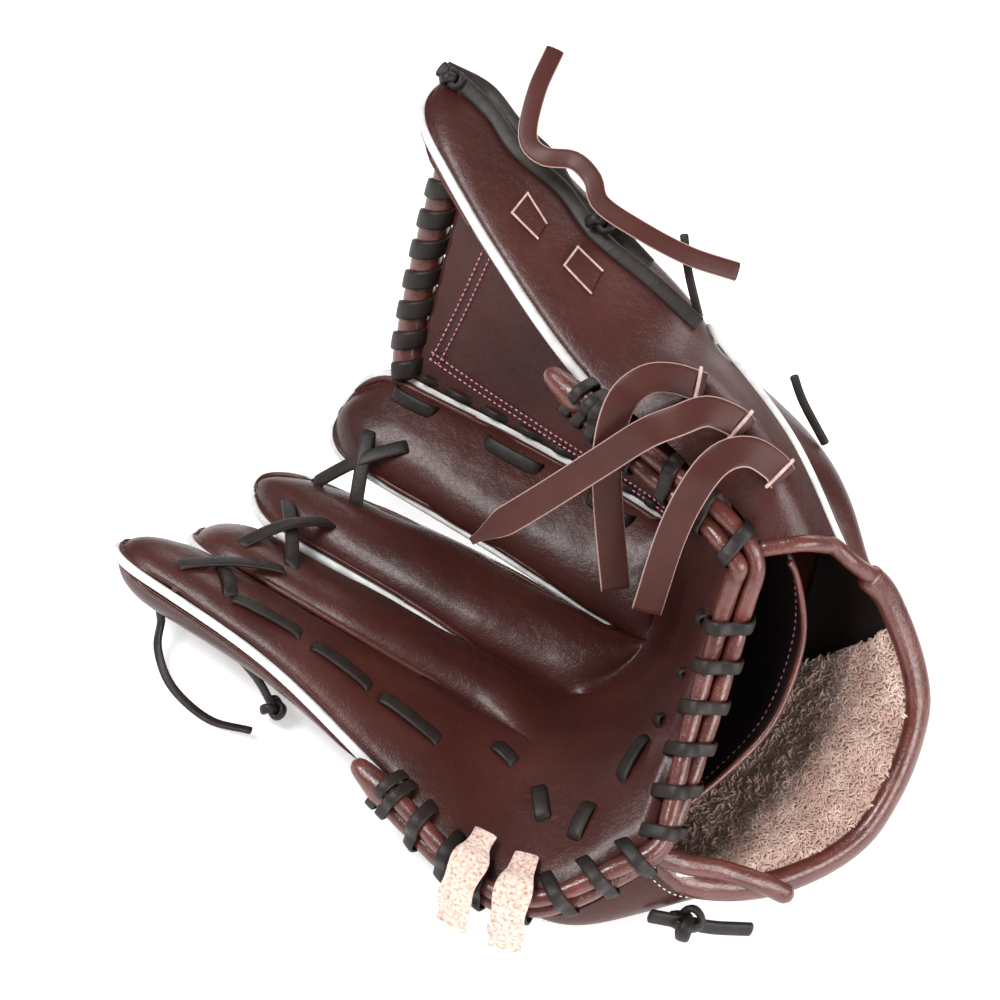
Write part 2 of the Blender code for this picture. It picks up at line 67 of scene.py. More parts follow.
# Seam lines at five stations: heel, mid palm, finger crotch, mid finger, tip.
SEAM = {
    "pinky_outer": ((-56, -1, -7), (-102, 27, 16), (-94, 90, 48), (-80, 153, 87), (-78, 222, 127)),
    "pinky_inner": ((-30, 6, -9), (-52, 53, -8), (-54, 105, 5), (-58, 165, 46), (-64, 229, 89)),
    "ring_outer": ((-30, 6, -9), (-52, 53, -8), (-54, 105, 5), (-56, 156, 49), (-59, 224, 91)),
    "ring_inner": ((2, 11, -7), (-17, 70, -42), (-33, 110, -30), (-39, 173, 5), (-48, 247, 50)),
    "middle_outer": ((2, 11, -7), (-17, 70, -42), (-33, 110, -30), (-32, 164, 10), (-36, 238, 48)),
    "middle_inner": ((27, 14, -2), (17, 75, -52), (11, 105, -48), (6, 174, -15), (-7, 257, 33)),
    "index_outer": ((27, 14, -2), (17, 75, -52), (11, 105, -48), (11, 164, -12), (9, 236, 23)),
    "index_inner": ((50, 15, 8), (53, 77, -39), (66, 108, -40), (65, 172, -15), (59, 239, 24)),
    "thumb_inner": ((61, 14, 15), (102, 68, 2), (139, 96, 21), (157, 156, 52), (172, 219, 96)),
    "thumb_outer": ((67, 13, 22), (78, 29, 34), (93, 94, 71), (121, 154, 101), (154, 212, 125)),
}
STRIP = (
    ("pinky_outer", "pinky_inner"),
    ("ring_outer", "ring_inner"),
    ("middle_outer", "middle_inner"),
    ("index_outer", "index_inner"),
    ("index_inner", "thumb_inner"),
    ("thumb_inner", "thumb_outer"),
)
PINKY, RING, MIDDLE, INDEX, WEB, THUMB = range(6)
FINGER = {"pinky": PINKY, "ring": RING, "middle": MIDDLE, "index": INDEX, "thumb": THUMB}

# Wrist rim, mid back and knuckles in columns from little finger to thumb, then the same for the thumb's back.
BACK = (
    ((-58, -2, -8), (-106, 24, 8), (-96, 88, 40)),
    ((-62, -16, -36), (-104, 22, -18), (-92, 90, 12)),
    ((-42, -29, -70), (-68, 38, -66), (-58, 98, -26)),
    ((-2, -38, -91), (-6, 42, -98), (-20, 106, -62)),
    ((53, -31, -85), (52, 42, -92), (40, 106, -66)),
    ((86, -15, -46), (100, 32, -50), (112, 96, -32)),
    ((90, -8, -13), (118, 23, 22), (142, 88, 20)),
)
THUMB_BACK = (
    ((91, -5, -9), (119, 24, 26), (143, 90, 26)),
    ((84, -4, 12), (106, 18, 45), (128, 82, 60)),
    ((71, 8, 24), (82, 23, 38), (97, 90, 74)),
)
BACK_AT_SEAM = (0.12, 1.75, 2.6, 3.45, 4.4, 5.45)  # column of BACK under each seam line

LOOP_STRAPS = (
    ((116, 49, 59), (112, 54, 73), (105, 57, 83), (93, 61, 84), (76, 65, 72), (57, 69, 49), (27, 65, 18)),
    ((109, 24, 53), (110, 26, 58), (107, 31, 71), (97, 36, 78), (86, 45, 80), (68, 62, 74), (42, 84, 68),
     (12, 109, 63)),
    ((101, 7, 37), (103, 8, 45), (102, 12, 58), (94, 16, 66), (80, 21, 64), (58, 32, 47), (26, 43, 20)),
)
CURLED_LACE = ((209, 174, 112), (189, 168, 114), (170, 160, 112), (166, 150, 108), (171, 140, 101),
               (168, 129, 97), (161, 122, 92), (160, 108, 80), (162, 92, 62), (168, 80, 43))
PINKY_TAIL = ((-93, 216, 92), (-104, 209, 91), (-114, 195, 85), (-117, 176, 74), (-111, 160, 64))
THUMB_TAILS = (((148, 92, 40), (158, 98, 49), (170, 104, 57)), ((128, 27, 5), (135, 35, 15), (142, 41, 22)))
WRIST_LACE = ((-82, -6, -30), (-77, -14, -43), (-73, -20, -54), (-66, -27, -68))
WEB_KNOT = (157, 130, 78)
PINKY_KNOT = (-98, 162, 57)
POCKET_OUT = np.array((0.1, -0.67, 0.74))

# Stations of the fingertips, and the shape of a stall.
TIP = {"pinky": 4.16, "ring": 4.14, "middle": 4.15, "index": 4.28, "thumb": 4.1}
CAP = 0.38           # stations that a rounded tip takes up
CAP_SHAPE = 0.74     # below 1 the tip is squarer than an ellipse
STALL_EDGE = 0.965   # share of a strip's width that its stall fills
EDGE_HEIGHT = 2.9    # a stall's edge above the seam surface
FRONT_DOME = {PINKY: 9.5, RING: 13.5, MIDDLE: 12.8, INDEX: 13.2, WEB: 0.0, THUMB: 11.8}
BACK_DOME = {PINKY: 15.0, RING: 9.0, MIDDLE: 9.0, INDEX: 10.0, WEB: 0.0, THUMB: 6.5}
PALM_TOP = 9.0       # the palm's leather above the seam surface
PANEL_INSET = 3.6    # the back leather under the outside of the wrist strap

# Thickness of each leather.
SHELL_THICK = 1.3
SIDE_THICK = 1.6
STRAP_THICK = 2.6
WEB_THICK = 3.2

# The two rolls along the laced edge, and the laced roll on top of the web.
ROLL_RADIUS = 3.9
ROLL_PITCH = 4.2
ROLL_LEVEL = 2.4
ROLL_OFF = 7.0
EDGE_STEP = 1.0
WEB_BAR_RADIUS = 7.3
WEB_PITCH = 15.5
FOLD_SPOT = 10       # point of the laced edge where the pocket's fold crosses it


# ---------------------------------------------------------------- surfaces
def unit(v):
    return v / np.linalg.norm(v, axis=-1, keepdims=True)


def smooth(low, high, x):
    t = np.clip((np.asarray(x, float) - low) / (high - low), 0.0, 1.0)
    return t * t * (3 - 2 * t)


def mix(a, b, t):
    return a + (b - a) * t


def world(points):
    """Hand frame in mm to the resting frame in metres."""
    return (np.asarray(points, float) @ REST_TURN.T + REST_SHIFT) * MM


def catmull(p0, p1, p2, p3, t):
    return 0.5 * (
        2 * p1
        + (p2 - p0) * t
        + (2 * p0 - 5 * p1 + 4 * p2 - p3) * t * t
        + (3 * p1 - p0 - 3 * p2 + p3) * t**3
    )


def along(line, station):
    """Points at stations of a line, on a smooth curve that runs straight on past its ends."""
    pts = np.asarray(line, float)
    run = np.concatenate(([2 * pts[0] - pts[1]], pts, [2 * pts[-1] - pts[-2]]))
    station = np.asarray(station, float)
    i = np.clip(np.floor(station).astype(int), 0, len(pts) - 2)
    return catmull(run[i], run[i + 1], run[i + 2], run[i + 3], (station - i)[..., None])


def middle(strip, u, station):
    """Seam surface: u runs from 0 at a strip's outer seam to 1 at its inner seam."""
    u, station = np.broadcast_arrays(np.asarray(u, float), np.asarray(station, float))
    left, right = (along(SEAM[name], station) for name in STRIP[strip])
    before = along(SEAM[STRIP[strip - 1][0]], station) if strip > 0 else 2 * left - right
    after = along(SEAM[STRIP[strip + 1][1]], station) if strip < THUMB else 2 * right - left
    return catmull(before, left, right, after, u[..., None])


def normal(strip, u, station):
    step = 0.02
    u, station = np.broadcast_arrays(np.asarray(u, float), np.asarray(station, float))
    across = middle(strip, u + step, station) - middle(strip, u - step, station)
    forward = middle(strip, u, station + step) - middle(strip, u, station - step)
    return unit(np.cross(across, forward))


def point(strip, u, station, height):
    """Points at a height above the seam surface; a negative height is on the back."""
    return middle(strip, u, station) + np.asarray(height, float)[..., None] * normal(strip, u, station)


def back_surface(table, across, station, lift=0.0):
    """Points of the back of the hand, lifted outwards."""
    across, station = np.broadcast_arrays(np.asarray(across, float), np.asarray(station, float))
    columns = np.array(table, float)

    def at(a, s):
        lines = [along(column, s) for column in columns]
        run = [2 * lines[0] - lines[1], *lines, 2 * lines[-1] - lines[-2]]
        i = np.clip(np.floor(a).astype(int), 0, len(columns) - 2)
        run = np.array(run)
        pick = np.indices(a.shape)
        p = [run[(i + k, *pick)] for k in range(4)]
        return catmull(*p, (a - i)[..., None])

    step = 0.02
    n = np.cross(at(across, station + step) - at(across, station - step),
                 at(across + step, station) - at(across - step, station))
    return at(across, station) + np.asarray(lift, float)[..., None] * unit(n)


def dome(share):
    return (1.0 - np.minimum(share, 1.0) ** 2.4) ** 0.6


def ripple(points, size, depth):
    """Slow unevenness of worked leather, in mm, from the place of each point."""
    flat = points.reshape(-1, 3)
    out = np.array([noise.noise(Vector(p) / size) for p in flat])
    return (out * depth).reshape(points.shape[:-1])


def stall_frame(side, station, cap, scale):
    """Place in a strip for a point of its stall, and its distance from the middle (0) to the edge (1)."""
    edge = 1.0 - (1.0 - STALL_EDGE) * smooth(1.9, 2.1, station)
    across = side * np.cos(cap) ** CAP_SHAPE * scale
    forward = np.sin(cap) ** CAP_SHAPE * scale
    return 0.5 + 0.5 * across * edge, station + CAP * forward * edge, np.hypot(across, forward)


def front_skin(strip, side, station, cap=0.0, scale=1.0, lower=0.0, lift=0.0):
    """Outer face of the leather on the pocket side, from the laced heel to a fingertip."""
    side, station, cap, scale, lower = np.broadcast_arrays(side, station, cap, scale, lower)
    u, place, share = stall_frame(side, station, cap, scale)
    stall = smooth(1.3, 2.1, station)
    height = mix(PALM_TOP, EDGE_HEIGHT, stall) + FRONT_DOME[strip] * dome(share) * stall - lower
    outside = -side if strip == PINKY else side if strip == THUMB else 0.0 * side
    outside = np.clip(outside, 0.0, 1.0) ** 6 * (1 - smooth(1.75, 2.0, station))
    u = u + (0.09 * outside if strip == THUMB else -0.09 * outside)
    height = height - 2.4 * np.maximum(outside, 1 - smooth(-0.05, 0.04, station)) + lift
    return point(strip, u, place, height)


def back_skin(strip, side, station, cap=0.0, scale=1.0, lower=0.0, lift=0.0):
    """Outer face of the leather on the back, from under the wrist strap to a fingertip."""
    side, station, cap, scale, lower = np.broadcast_arrays(side, station, cap, scale, lower)
    u, place, share = stall_frame(side, station, cap, scale)
    height = EDGE_HEIGHT + BACK_DOME[strip] * dome(share) - lower + lift
    stall = point(strip, u, place, -height)
    if strip == THUMB:
        hand = back_surface(THUMB_BACK, 2 * u, place, lift)
        return mix(hand, stall, smooth(1.6, 2.15, station)[..., None])
    columns = np.interp(strip + u, range(6), BACK_AT_SEAM)
    hand = back_surface(BACK, columns, place, lift - PANEL_INSET)
    reach = (1.93, 2.12) if strip == WEB else (1.9, 2.45)
    return mix(hand, stall, smooth(*reach, station)[..., None])


def strip_place(across):
    """Strip and place in it for a place counted across all the strips, from the little finger's outer seam."""
    strip = min(int(across), THUMB)
    return strip, across - strip


def sweep(spots, step):
    """Points at equal distances along a smooth curve through the given ones, with the place of each on it."""
    fine = np.linspace(0, len(spots) - 1, 12 * (len(spots) - 1) + 1)
    line = along(spots, fine)
    run = np.concatenate(([0.0], np.cumsum(np.linalg.norm(np.diff(line, axis=0), axis=1))))
    places = np.interp(np.linspace(0.0, run[-1], max(2, round(run[-1] / step)) + 1), run, fine)
    return along(spots, places), places


def laced_edge(step):
    """Centre, outward, upward and the fold's index along the laced edge, from the thumb's knob onwards."""
    spots = [(THUMB, 1.0, s) for s in (1.98, 1.7, 1.4, 1.1, 0.8, 0.5, 0.25)]
    heel = (5.95, 5.5, 5.0, 4.42, 3.8, 3.0, 2.2, 1.5, 0.8, 0.3, 0.08)
    spots += [(*strip_place(across), 0.0) for across in heel]
    spots += [(PINKY, 0.0, s) for s in (0.3, 0.55, 0.85, 1.15, 1.45, 1.75, 1.98)]
    edge = np.array([point(*place, ROLL_LEVEL) for place in spots])
    up = np.array([normal(*place) for place in spots])
    spot = np.arange(len(edge))
    ahead = edge[np.minimum(spot + 1, len(edge) - 1)] - edge[np.maximum(spot - 1, 0)]
    centres = edge + unit(np.cross(up, ahead)) * ROLL_OFF
    line, places = sweep(centres, step)
    window = np.hanning(2 * round(14 / step) + 1)
    padded = np.pad(line, ((len(window) // 2,) * 2, (0, 0)), mode="reflect", reflect_type="odd")
    line = np.stack([np.convolve(padded[:, k], window / window.sum(), "valid") for k in range(3)], 1)
    ahead = unit(np.gradient(line, axis=0))
    rise = along(up, places)
    rise = unit(rise - ahead * np.sum(rise * ahead, axis=1, keepdims=True))
    return line, np.cross(rise, ahead), rise, int(np.argmin(abs(places - FOLD_SPOT)))


# ---------------------------------------------------------------- meshes
def piece(name, points, faces, skin, uv=None, weld=False):
    """Mesh object from points in the hand frame, with its material and, where given, a UV for each point."""
    data = bpy.data.meshes.new(name)
    data.from_pydata(world(points).tolist(), [], [list(map(int, f)) for f in faces])
    if uv is not None:
        layer = data.uv_layers.new(name="Path")
        index = np.empty(len(data.loops), np.int32)
        data.loops.foreach_get("vertex_index", index)
        layer.data.foreach_set("uv", np.asarray(uv, np.float32)[index].ravel())
    if weld:
        work = bmesh.new()
        work.from_mesh(data)
        bmesh.ops.remove_doubles(work, verts=work.verts, dist=2e-5)
        work.to_mesh(data)
        work.free()
    data.materials.append(skin)
    data.shade_smooth()
    made = bpy.data.objects.new(name, data)
    bpy.context.scene.collection.objects.link(made)
    return made


def lattice(rows, columns, start=0, flip=False):
    i, j = np.meshgrid(np.arange(rows - 1), np.arange(columns - 1), indexing="ij")
    a = (start + i * columns + j).ravel()
    faces = np.stack((a, a + 1, a + columns + 1, a + columns), -1)
    return faces[:, ::-1] if flip else faces


def sheet_of(name, grids, skin, thick, flip=False, weld=True):
    """Leather made of one or more grids of points, given its thickness inwards."""
    points, faces, start = [], [], 0
    for grid in grids:
        rows, columns = grid.shape[:2]
        points.append(grid.reshape(-1, 3))
        faces.append(lattice(rows, columns, start, flip))
        start += rows * columns
    made = piece(name, np.concatenate(points), np.concatenate(faces), skin, weld=weld)
    if thick:
        wall = made.modifiers.new("wall", "SOLIDIFY")
        wall.thickness = thick * MM
        wall.offset = -1.0
        wall.use_even_offset = False
    return made


ROUNDED_END = ((0.35, 0.93), (0.8, 0.65), (1.0, 0.25))   # reach and size of each ring of a tube's end


def tube_parts(path, half_wide, half_thick, up, sides=10, power=2.0, blunt=0.35):
    """Points, faces and UVs of a lace, strap or roll along a path, with rounded ends."""
    path = np.asarray(path, float)
    run = np.concatenate(([0.0], np.cumsum(np.linalg.norm(np.diff(path, axis=0), axis=1))))
    ahead = unit(np.gradient(path, axis=0))
    side = unit(np.cross(ahead, np.broadcast_to(up, path.shape)))
    rise = np.cross(side, ahead)
    wide = np.broadcast_to(half_wide, len(path)).astype(float)
    thick = np.broadcast_to(half_thick, len(path)).astype(float)
    rings = [(0, -push, size) for push, size in ROUNDED_END[::-1]]
    rings += [(i, 0.0, 1.0) for i in range(len(path))]
    rings += [(len(path) - 1, push, size) for push, size in ROUNDED_END]
    angle = np.linspace(0, 2 * np.pi, sides, endpoint=False)
    x = np.sign(np.cos(angle)) * abs(np.cos(angle)) ** (2 / power)
    y = np.sign(np.sin(angle)) * abs(np.sin(angle)) ** (2 / power)
    points, uv = [], []
    for i, push, size in rings:
        centre = path[i] + ahead[i] * push * blunt * 2 * thick[i]
        points.append(centre + size * (np.outer(x * wide[i], side[i]) + np.outer(y * thick[i], rise[i])))
        uv += [((run[i] + push) * MM, v) for v in angle / (2 * np.pi)]
    count = len(rings)
    faces = []
    for i in range(count - 1):
        for j in range(sides):
            k = (j + 1) % sides
            faces.append((i * sides + j, (i + 1) * sides + j, (i + 1) * sides + k, i * sides + k))
    faces.append(tuple(range(sides)))
    faces.append(tuple((count - 1) * sides + j for j in reversed(range(sides))))
    return np.concatenate(points), faces, uv


def bundle(name, tubes, skin):
    """One object from several tubes."""
    points, faces, uv, start = [], [], [], 0
    for p, f, t in tubes:
        points.append(p)
        faces += [tuple(v + start for v in face) for face in f]
        uv += t
        start += len(p)
    return piece(name, np.concatenate(points), faces, skin, uv)


def rides(made, body, *nodes, slot=None):
    """Puts a piece on its body and hides the CAD nodes it stands in for; a piece on "fold" only has its place
    baked and rides no body.
    """
    if body == "fold":
        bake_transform(made)
    else:
        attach(made, body)
    if nodes:
        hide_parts(*nodes)
    return made


# ---------------------------------------------------------------- finishes
def finish_of(name, ramp, mottle, bumps, rough, coords="Object", pale_edges=None, worn=None, **sockets):
    """Mottled colour, bumps as (kind, scale, depth in mm, strength) and a range of roughness."""
    made = bpy.data.materials.new(name)
    made.use_nodes = True
    tree = made.node_tree
    node, join = tree.nodes.new, tree.links.new
    shader = tree.nodes["Principled BSDF"]
    for socket, value in sockets.items():
        shader.inputs[socket.replace("_", " ")].default_value = value
    place = node("ShaderNodeTexCoord").outputs[coords]

    def texture(kind, scale):
        if kind == "cells":
            made_node = node("ShaderNodeTexVoronoi")
            made_node.feature = "DISTANCE_TO_EDGE"
            out = made_node.outputs["Distance"]
        else:
            made_node = node("ShaderNodeTexNoise")
            made_node.inputs["Detail"].default_value = 5.0
            made_node.inputs["Distortion"].default_value = 0.8 if kind == "creases" else 0.1
            out = made_node.outputs["Fac"]
        made_node.inputs["Scale"].default_value = scale
        vector = place
        if kind == "fibres":
            stretch = node("ShaderNodeMapping")
            stretch.inputs["Scale"].default_value = (0.12, 6.0, 1.0)
            join(place, stretch.inputs["Vector"])
            vector = stretch.outputs["Vector"]
        join(vector, made_node.inputs["Vector"])
        if kind != "creases":
            return out
        centred = node("ShaderNodeMath")
        centred.operation = "SUBTRACT"
        centred.inputs[1].default_value = 0.5
        join(out, centred.inputs[0])
        ridge = node("ShaderNodeMath")
        ridge.operation = "ABSOLUTE"
        join(centred.outputs[0], ridge.inputs[0])
        sharp = node("ShaderNodeMapRange")
        sharp.inputs["From Max"].default_value = 0.06
        join(ridge.outputs[0], sharp.inputs["Value"])
        return sharp.outputs["Result"]

    cloud = texture("noise", mottle)
    colours = node("ShaderNodeValToRGB")
    for end, (where, colour) in zip(colours.color_ramp.elements, (ramp[0], ramp[-1])):
        end.position, end.color = where, (*colour, 1)
    for where, colour in ramp[1:-1]:
        colours.color_ramp.elements.new(where).color = (*colour, 1)
    join(cloud, colours.inputs["Fac"])
    colour = colours.outputs["Color"]
    for mask, over in ((worn_mask, worn), (edge_mask, pale_edges)):
        if over:
            blend = node("ShaderNodeMix")
            blend.data_type = "RGBA"
            blend.inputs["B"].default_value = (*over, 1)
            join(mask(tree, made), blend.inputs["Factor"])
            join(colour, blend.inputs["A"])
            colour = blend.outputs["Result"]
    join(colour, shader.inputs["Base Color"])
    shine = node("ShaderNodeMapRange")
    shine.inputs["To Min"].default_value, shine.inputs["To Max"].default_value = rough
    join(texture("noise", mottle * 2.3), shine.inputs["Value"])
    join(shine.outputs["Result"], shader.inputs["Roughness"])
    above = None
    for kind, scale, depth, strength in bumps:
        bump = node("ShaderNodeBump")
        bump.inputs["Distance"].default_value = depth * MM
        bump.inputs["Strength"].default_value = strength
        join(texture(kind, scale), bump.inputs["Height"])
        if above:
            join(above, bump.inputs["Normal"])
        above = bump.outputs["Normal"]
    join(above, shader.inputs["Normal"])
    return made


def worn_mask(tree, _):
    """Raised edges, where handling has paled the leather."""
    mask = tree.nodes.new("ShaderNodeMapRange")
    mask.inputs["From Min"].default_value = 0.53
    mask.inputs["From Max"].default_value = 0.62
    mask.inputs["To Max"].default_value = 0.5
    tree.links.new(tree.nodes.new("ShaderNodeNewGeometry").outputs["Pointiness"], mask.inputs["Value"])
    return mask.outputs["Result"]


def edge_mask(tree, _):
    """The two raw edges of a strap, from the way round it in its Path map."""
    split = tree.nodes.new("ShaderNodeSeparateXYZ")
    tree.links.new(tree.nodes.new("ShaderNodeTexCoord").outputs["UV"], split.inputs["Vector"])
    turn = tree.nodes.new("ShaderNodeMath")
    turn.operation = "MULTIPLY"
    turn.inputs[1].default_value = 2 * math.pi
    tree.links.new(split.outputs["Y"], turn.inputs[0])
    wave = tree.nodes.new("ShaderNodeMath")
    wave.operation = "COSINE"
    tree.links.new(turn.outputs[0], wave.inputs[0])
    size = tree.nodes.new("ShaderNodeMath")
    size.operation = "ABSOLUTE"
    tree.links.new(wave.outputs[0], size.inputs[0])
    mask = tree.nodes.new("ShaderNodeMapRange")
    mask.inputs["From Min"].default_value = 0.82
    mask.inputs["From Max"].default_value = 0.93
    tree.links.new(size.outputs[0], mask.inputs["Value"])
    return mask.outputs["Result"]


DEEP, WINE, WARM = (0.034, 0.0072, 0.0055), (0.050, 0.0120, 0.0090), (0.070, 0.0195, 0.0150)
LEATHER_BUMPS = (("noise", 45, 1.6, 0.25), ("noise", 230, 0.7, 0.30), ("creases", 240, 0.22, 0.25),
                 ("cells", 780, 0.22, 0.30), ("noise", 2600, 0.09, 0.30))
shell_leather = finish_of("shell_leather", ((0.3, DEEP), (0.5, WINE), (0.72, WARM)), 18, LEATHER_BUMPS,
                          (0.30, 0.44), worn=(0.11, 0.036, 0.029), Coat_Weight=0.08, Coat_Roughness=0.14,
                          Specular_IOR_Level=0.30)
roll_leather = finish_of("roll_leather", ((0.3, (0.070, 0.014, 0.010)), (0.7, (0.140, 0.036, 0.026))), 60,
                         (("noise", 160, 1.2, 0.4), ("creases", 190, 0.4, 0.3), ("cells", 900, 0.12, 0.2)),
                         (0.24, 0.38), Coat_Weight=0.3, Coat_Roughness=0.15)
strap_leather = finish_of("strap_leather", ((0.3, WINE), (0.7, WARM)), 40,
                          (("noise", 90, 0.8, 0.3), ("cells", 850, 0.14, 0.25), ("noise", 2400, 0.08, 0.3)),
                          (0.36, 0.50), pale_edges=(0.46, 0.30, 0.27), Specular_IOR_Level=0.25)
# Near-black lining: partly its own dark leather, partly painted shade for the unlit inside of the wrist and
# hand.
lining_leather = finish_of("lining_leather", ((0.3, (0.010, 0.007, 0.007)), (0.7, (0.028, 0.016, 0.015))), 30,
                           (("noise", 60, 1.5, 0.3), ("cells", 800, 0.15, 0.3)), (0.45, 0.65))
lace_leather = finish_of("lace_leather", ((0.3, (0.008, 0.0052, 0.0042)), (0.7, (0.022, 0.0145, 0.0118))), 90,
                         (("noise", 260, 0.7, 0.35), ("cells", 1100, 0.14, 0.3), ("noise", 3000, 0.08, 0.3)),
                         (0.42, 0.60), Specular_IOR_Level=0.35)
welt_strip = finish_of("welt_strip", ((0.3, (0.56, 0.55, 0.53)), (0.7, (0.80, 0.80, 0.79))), 120,
                       (("noise", 420, 0.5, 0.35), ("noise", 2200, 0.12, 0.4)), (0.6, 0.8))
fleece_pile = finish_of("fleece_pile", ((0.25, (0.58, 0.36, 0.29)), (0.5, (0.76, 0.52, 0.43)),
                                        (0.75, (0.90, 0.70, 0.60))), 70,
                        (("noise", 500, 1.0, 0.6), ("noise", 1800, 0.5, 0.5)), (0.9, 1.0),
                        Sheen_Weight=0.5, Sheen_Roughness=0.5)
suede = finish_of("suede", ((0.26, (0.36, 0.15, 0.105)), (0.42, (0.66, 0.43, 0.34)),
                            (0.58, (0.84, 0.68, 0.59))), 640,
                  (("noise", 900, 0.9, 0.7), ("noise", 2600, 0.4, 0.6)), (0.9, 1.0),
                  Sheen_Weight=0.4, Sheen_Roughness=0.5)
raw_edge = finish_of("raw_edge", ((0.3, (0.40, 0.26, 0.23)), (0.7, (0.62, 0.48, 0.44))), 300,
                     (("noise", 1600, 0.3, 0.6),), (0.85, 1.0))
felt = finish_of("felt", ((0.3, (0.30, 0.25, 0.20)), (0.7, (0.50, 0.44, 0.37))), 300,
                 (("noise", 1500, 0.6, 0.6),), (0.9, 1.0))
pink_thread = finish_of("pink_thread", ((0.3, (0.60, 0.16, 0.28)), (0.7, (0.82, 0.38, 0.50))), 400,
                        (("noise", 2500, 0.1, 0.5),), (0.5, 0.7), Sheen_Weight=0.3)
pale_thread = finish_of("pale_thread", ((0.3, (0.62, 0.57, 0.54)), (0.7, (0.82, 0.79, 0.77))), 400,
                        (("noise", 2500, 0.1, 0.5),), (0.5, 0.7), Sheen_Weight=0.3)


# ---------------------------------------------------------------- camera, light and floor
VIEW_RIGHT = unit(np.array((0.53, -0.629, -0.57)))
VIEW_UP = np.array((0.85, 0.392, 0.355))
VIEW_UP = unit(VIEW_UP - VIEW_RIGHT * (VIEW_UP @ VIEW_RIGHT))
TOWARD_CAMERA = np.cross(VIEW_RIGHT, VIEW_UP)
LOOK_AT = np.array((33.0, 115.0, 55.0))
CAMERA_AWAY = 1000.0
FOCAL_LENGTH = 83.88


def add_camera():
    data = bpy.data.cameras.new("camera")
    data.lens = FOCAL_LENGTH
    data.sensor_width = 36.0
    camera = bpy.data.objects.new("camera", data)
    bpy.context.scene.collection.objects.link(camera)
    axes = REST_TURN @ np.column_stack((VIEW_RIGHT, VIEW_UP, TOWARD_CAMERA))
    turn = Matrix(axes.tolist()).to_4x4()
    turn.translation = world(LOOK_AT + CAMERA_AWAY * TOWARD_CAMERA)
    camera.matrix_world = turn
    bpy.context.scene.camera = camera


def softbox(name, place, aim, size, watts, colour=(1, 1, 1)):
    data = bpy.data.lights.new(name, "AREA")
    data.shape = "RECTANGLE"
    data.size, data.size_y = size
    data.energy = watts
    data.color = colour
    made = bpy.data.objects.new(name, data)
    bpy.context.scene.collection.objects.link(made)
    made.location = place
    made.rotation_euler = (Vector(aim) - Vector(place)).to_track_quat("-Z", "Y").to_euler()


def add_stage():
    floor_finish = bpy.data.materials.new("floor_paint")
    floor_finish.use_nodes = True
    shader = floor_finish.node_tree.nodes["Principled BSDF"]
    shader.inputs["Base Color"].default_value = (0.9, 0.9, 0.9, 1)
    shader.inputs["Roughness"].default_value = 0.9
    shader.inputs["Emission Color"].default_value = (1, 1, 1, 1)
    shader.inputs["Emission Strength"].default_value = 0.48
    data = bpy.data.meshes.new("floor")
    data.from_pydata([(-6, -6, 0), (6, -6, 0), (6, 6, 0), (-6, 6, 0)], [], [(0, 1, 2, 3)])
    data.materials.append(floor_finish)
    floor = bpy.data.objects.new("floor", data)
    bpy.context.scene.collection.objects.link(floor)
    sky = bpy.data.worlds.new("studio")
    sky.use_nodes = True
    sky.node_tree.nodes["Background"].inputs["Color"].default_value = (1, 1, 1, 1)
    sky.node_tree.nodes["Background"].inputs["Strength"].default_value = 0.28
    bpy.context.scene.world = sky
    bpy.context.scene.view_settings.view_transform = "Standard"
    softbox("key_softbox", (-0.75, -0.45, 1.15), (-0.03, 0.0, 0.1), (0.6, 0.5), 18.0)
    softbox("fill_softbox", (1.1, -0.9, 0.8), (0.0, 0.0, 0.1), (0.8, 0.8), 17.0)
    softbox("wrist_softbox", (1.25, -0.3, 0.75), (0.1, 0.0, 0.08), (0.6, 0.6), 7.0)
    softbox("back_softbox", (0.1, 1.1, 0.9), (0.0, 0.0, 0.12), (1.2, 0.5), 9.0)


add_camera()
add_stage()


# ---------------------------------------------------------------- cords
def free_lace(name, route, wide, thick, skin, body, up):
    """Flat free end of a lace."""
    path, _ = sweep(route, 2.5)
    made = bundle(name, [tube_parts(path, wide / 2, thick / 2, up, 14, 3.0)], skin)
    rides(made, body, name, slot="lace")


free_lace("curled_lace", CURLED_LACE[::-1], 8.4, 1.8, strap_leather, "thumb_side", TOWARD_CAMERA)
free_lace("pinky_tail_lace", PINKY_TAIL, 4.0, 2.2, lace_leather, "hand", (0.5, 0.2, 0.8))
for number, route in enumerate(THUMB_TAILS, 1):
    start = np.array(route[0], float)
    longer = (start - 5 * unit(np.array(route[1], float) - start), *route[1:])
    free_lace(f"thumb_tail_{number}", longer, 3.8, 2.2, lace_leather, "thumb_side", (0.4, 0.5, -0.6))


# ---------------------------------------------------------------- leather
ACROSS = np.sin(np.linspace(-np.pi / 2, np.pi / 2, 27))   # places across a stall, closer at its edges
TURNED = ((0.94, 2.2), (0.985, 0.9))                      # inset and drop of an edge turned under
SIDE_BULGE = 9.0


def stall_columns():
    """Place across, inset and drop of each column of a stall, with its turned edges."""
    inner = [(side, 1.0, 0.0) for side in ACROSS]
    return np.array([(-1.0, s, d) for s, d in TURNED] + inner + [(1.0, s, d) for s, d in TURNED[::-1]]).T


def stall_rows(start, tip, count, around=15):
    """Station, cap angle, inset and drop of each row of a stall, closing round its tip and turning under."""
    rows = [(start + (tip - CAP - start) * i / count, 0.0, 1.0, 0.0) for i in range(count)]
    rows += [(tip - CAP, math.radians(a), 1.0, 0.0) for a in np.linspace(0, 88.5, around)]
    rows += [(tip - CAP, math.radians(88.5), s, d) for s, d in TURNED[::-1]]
    return np.array(rows).T


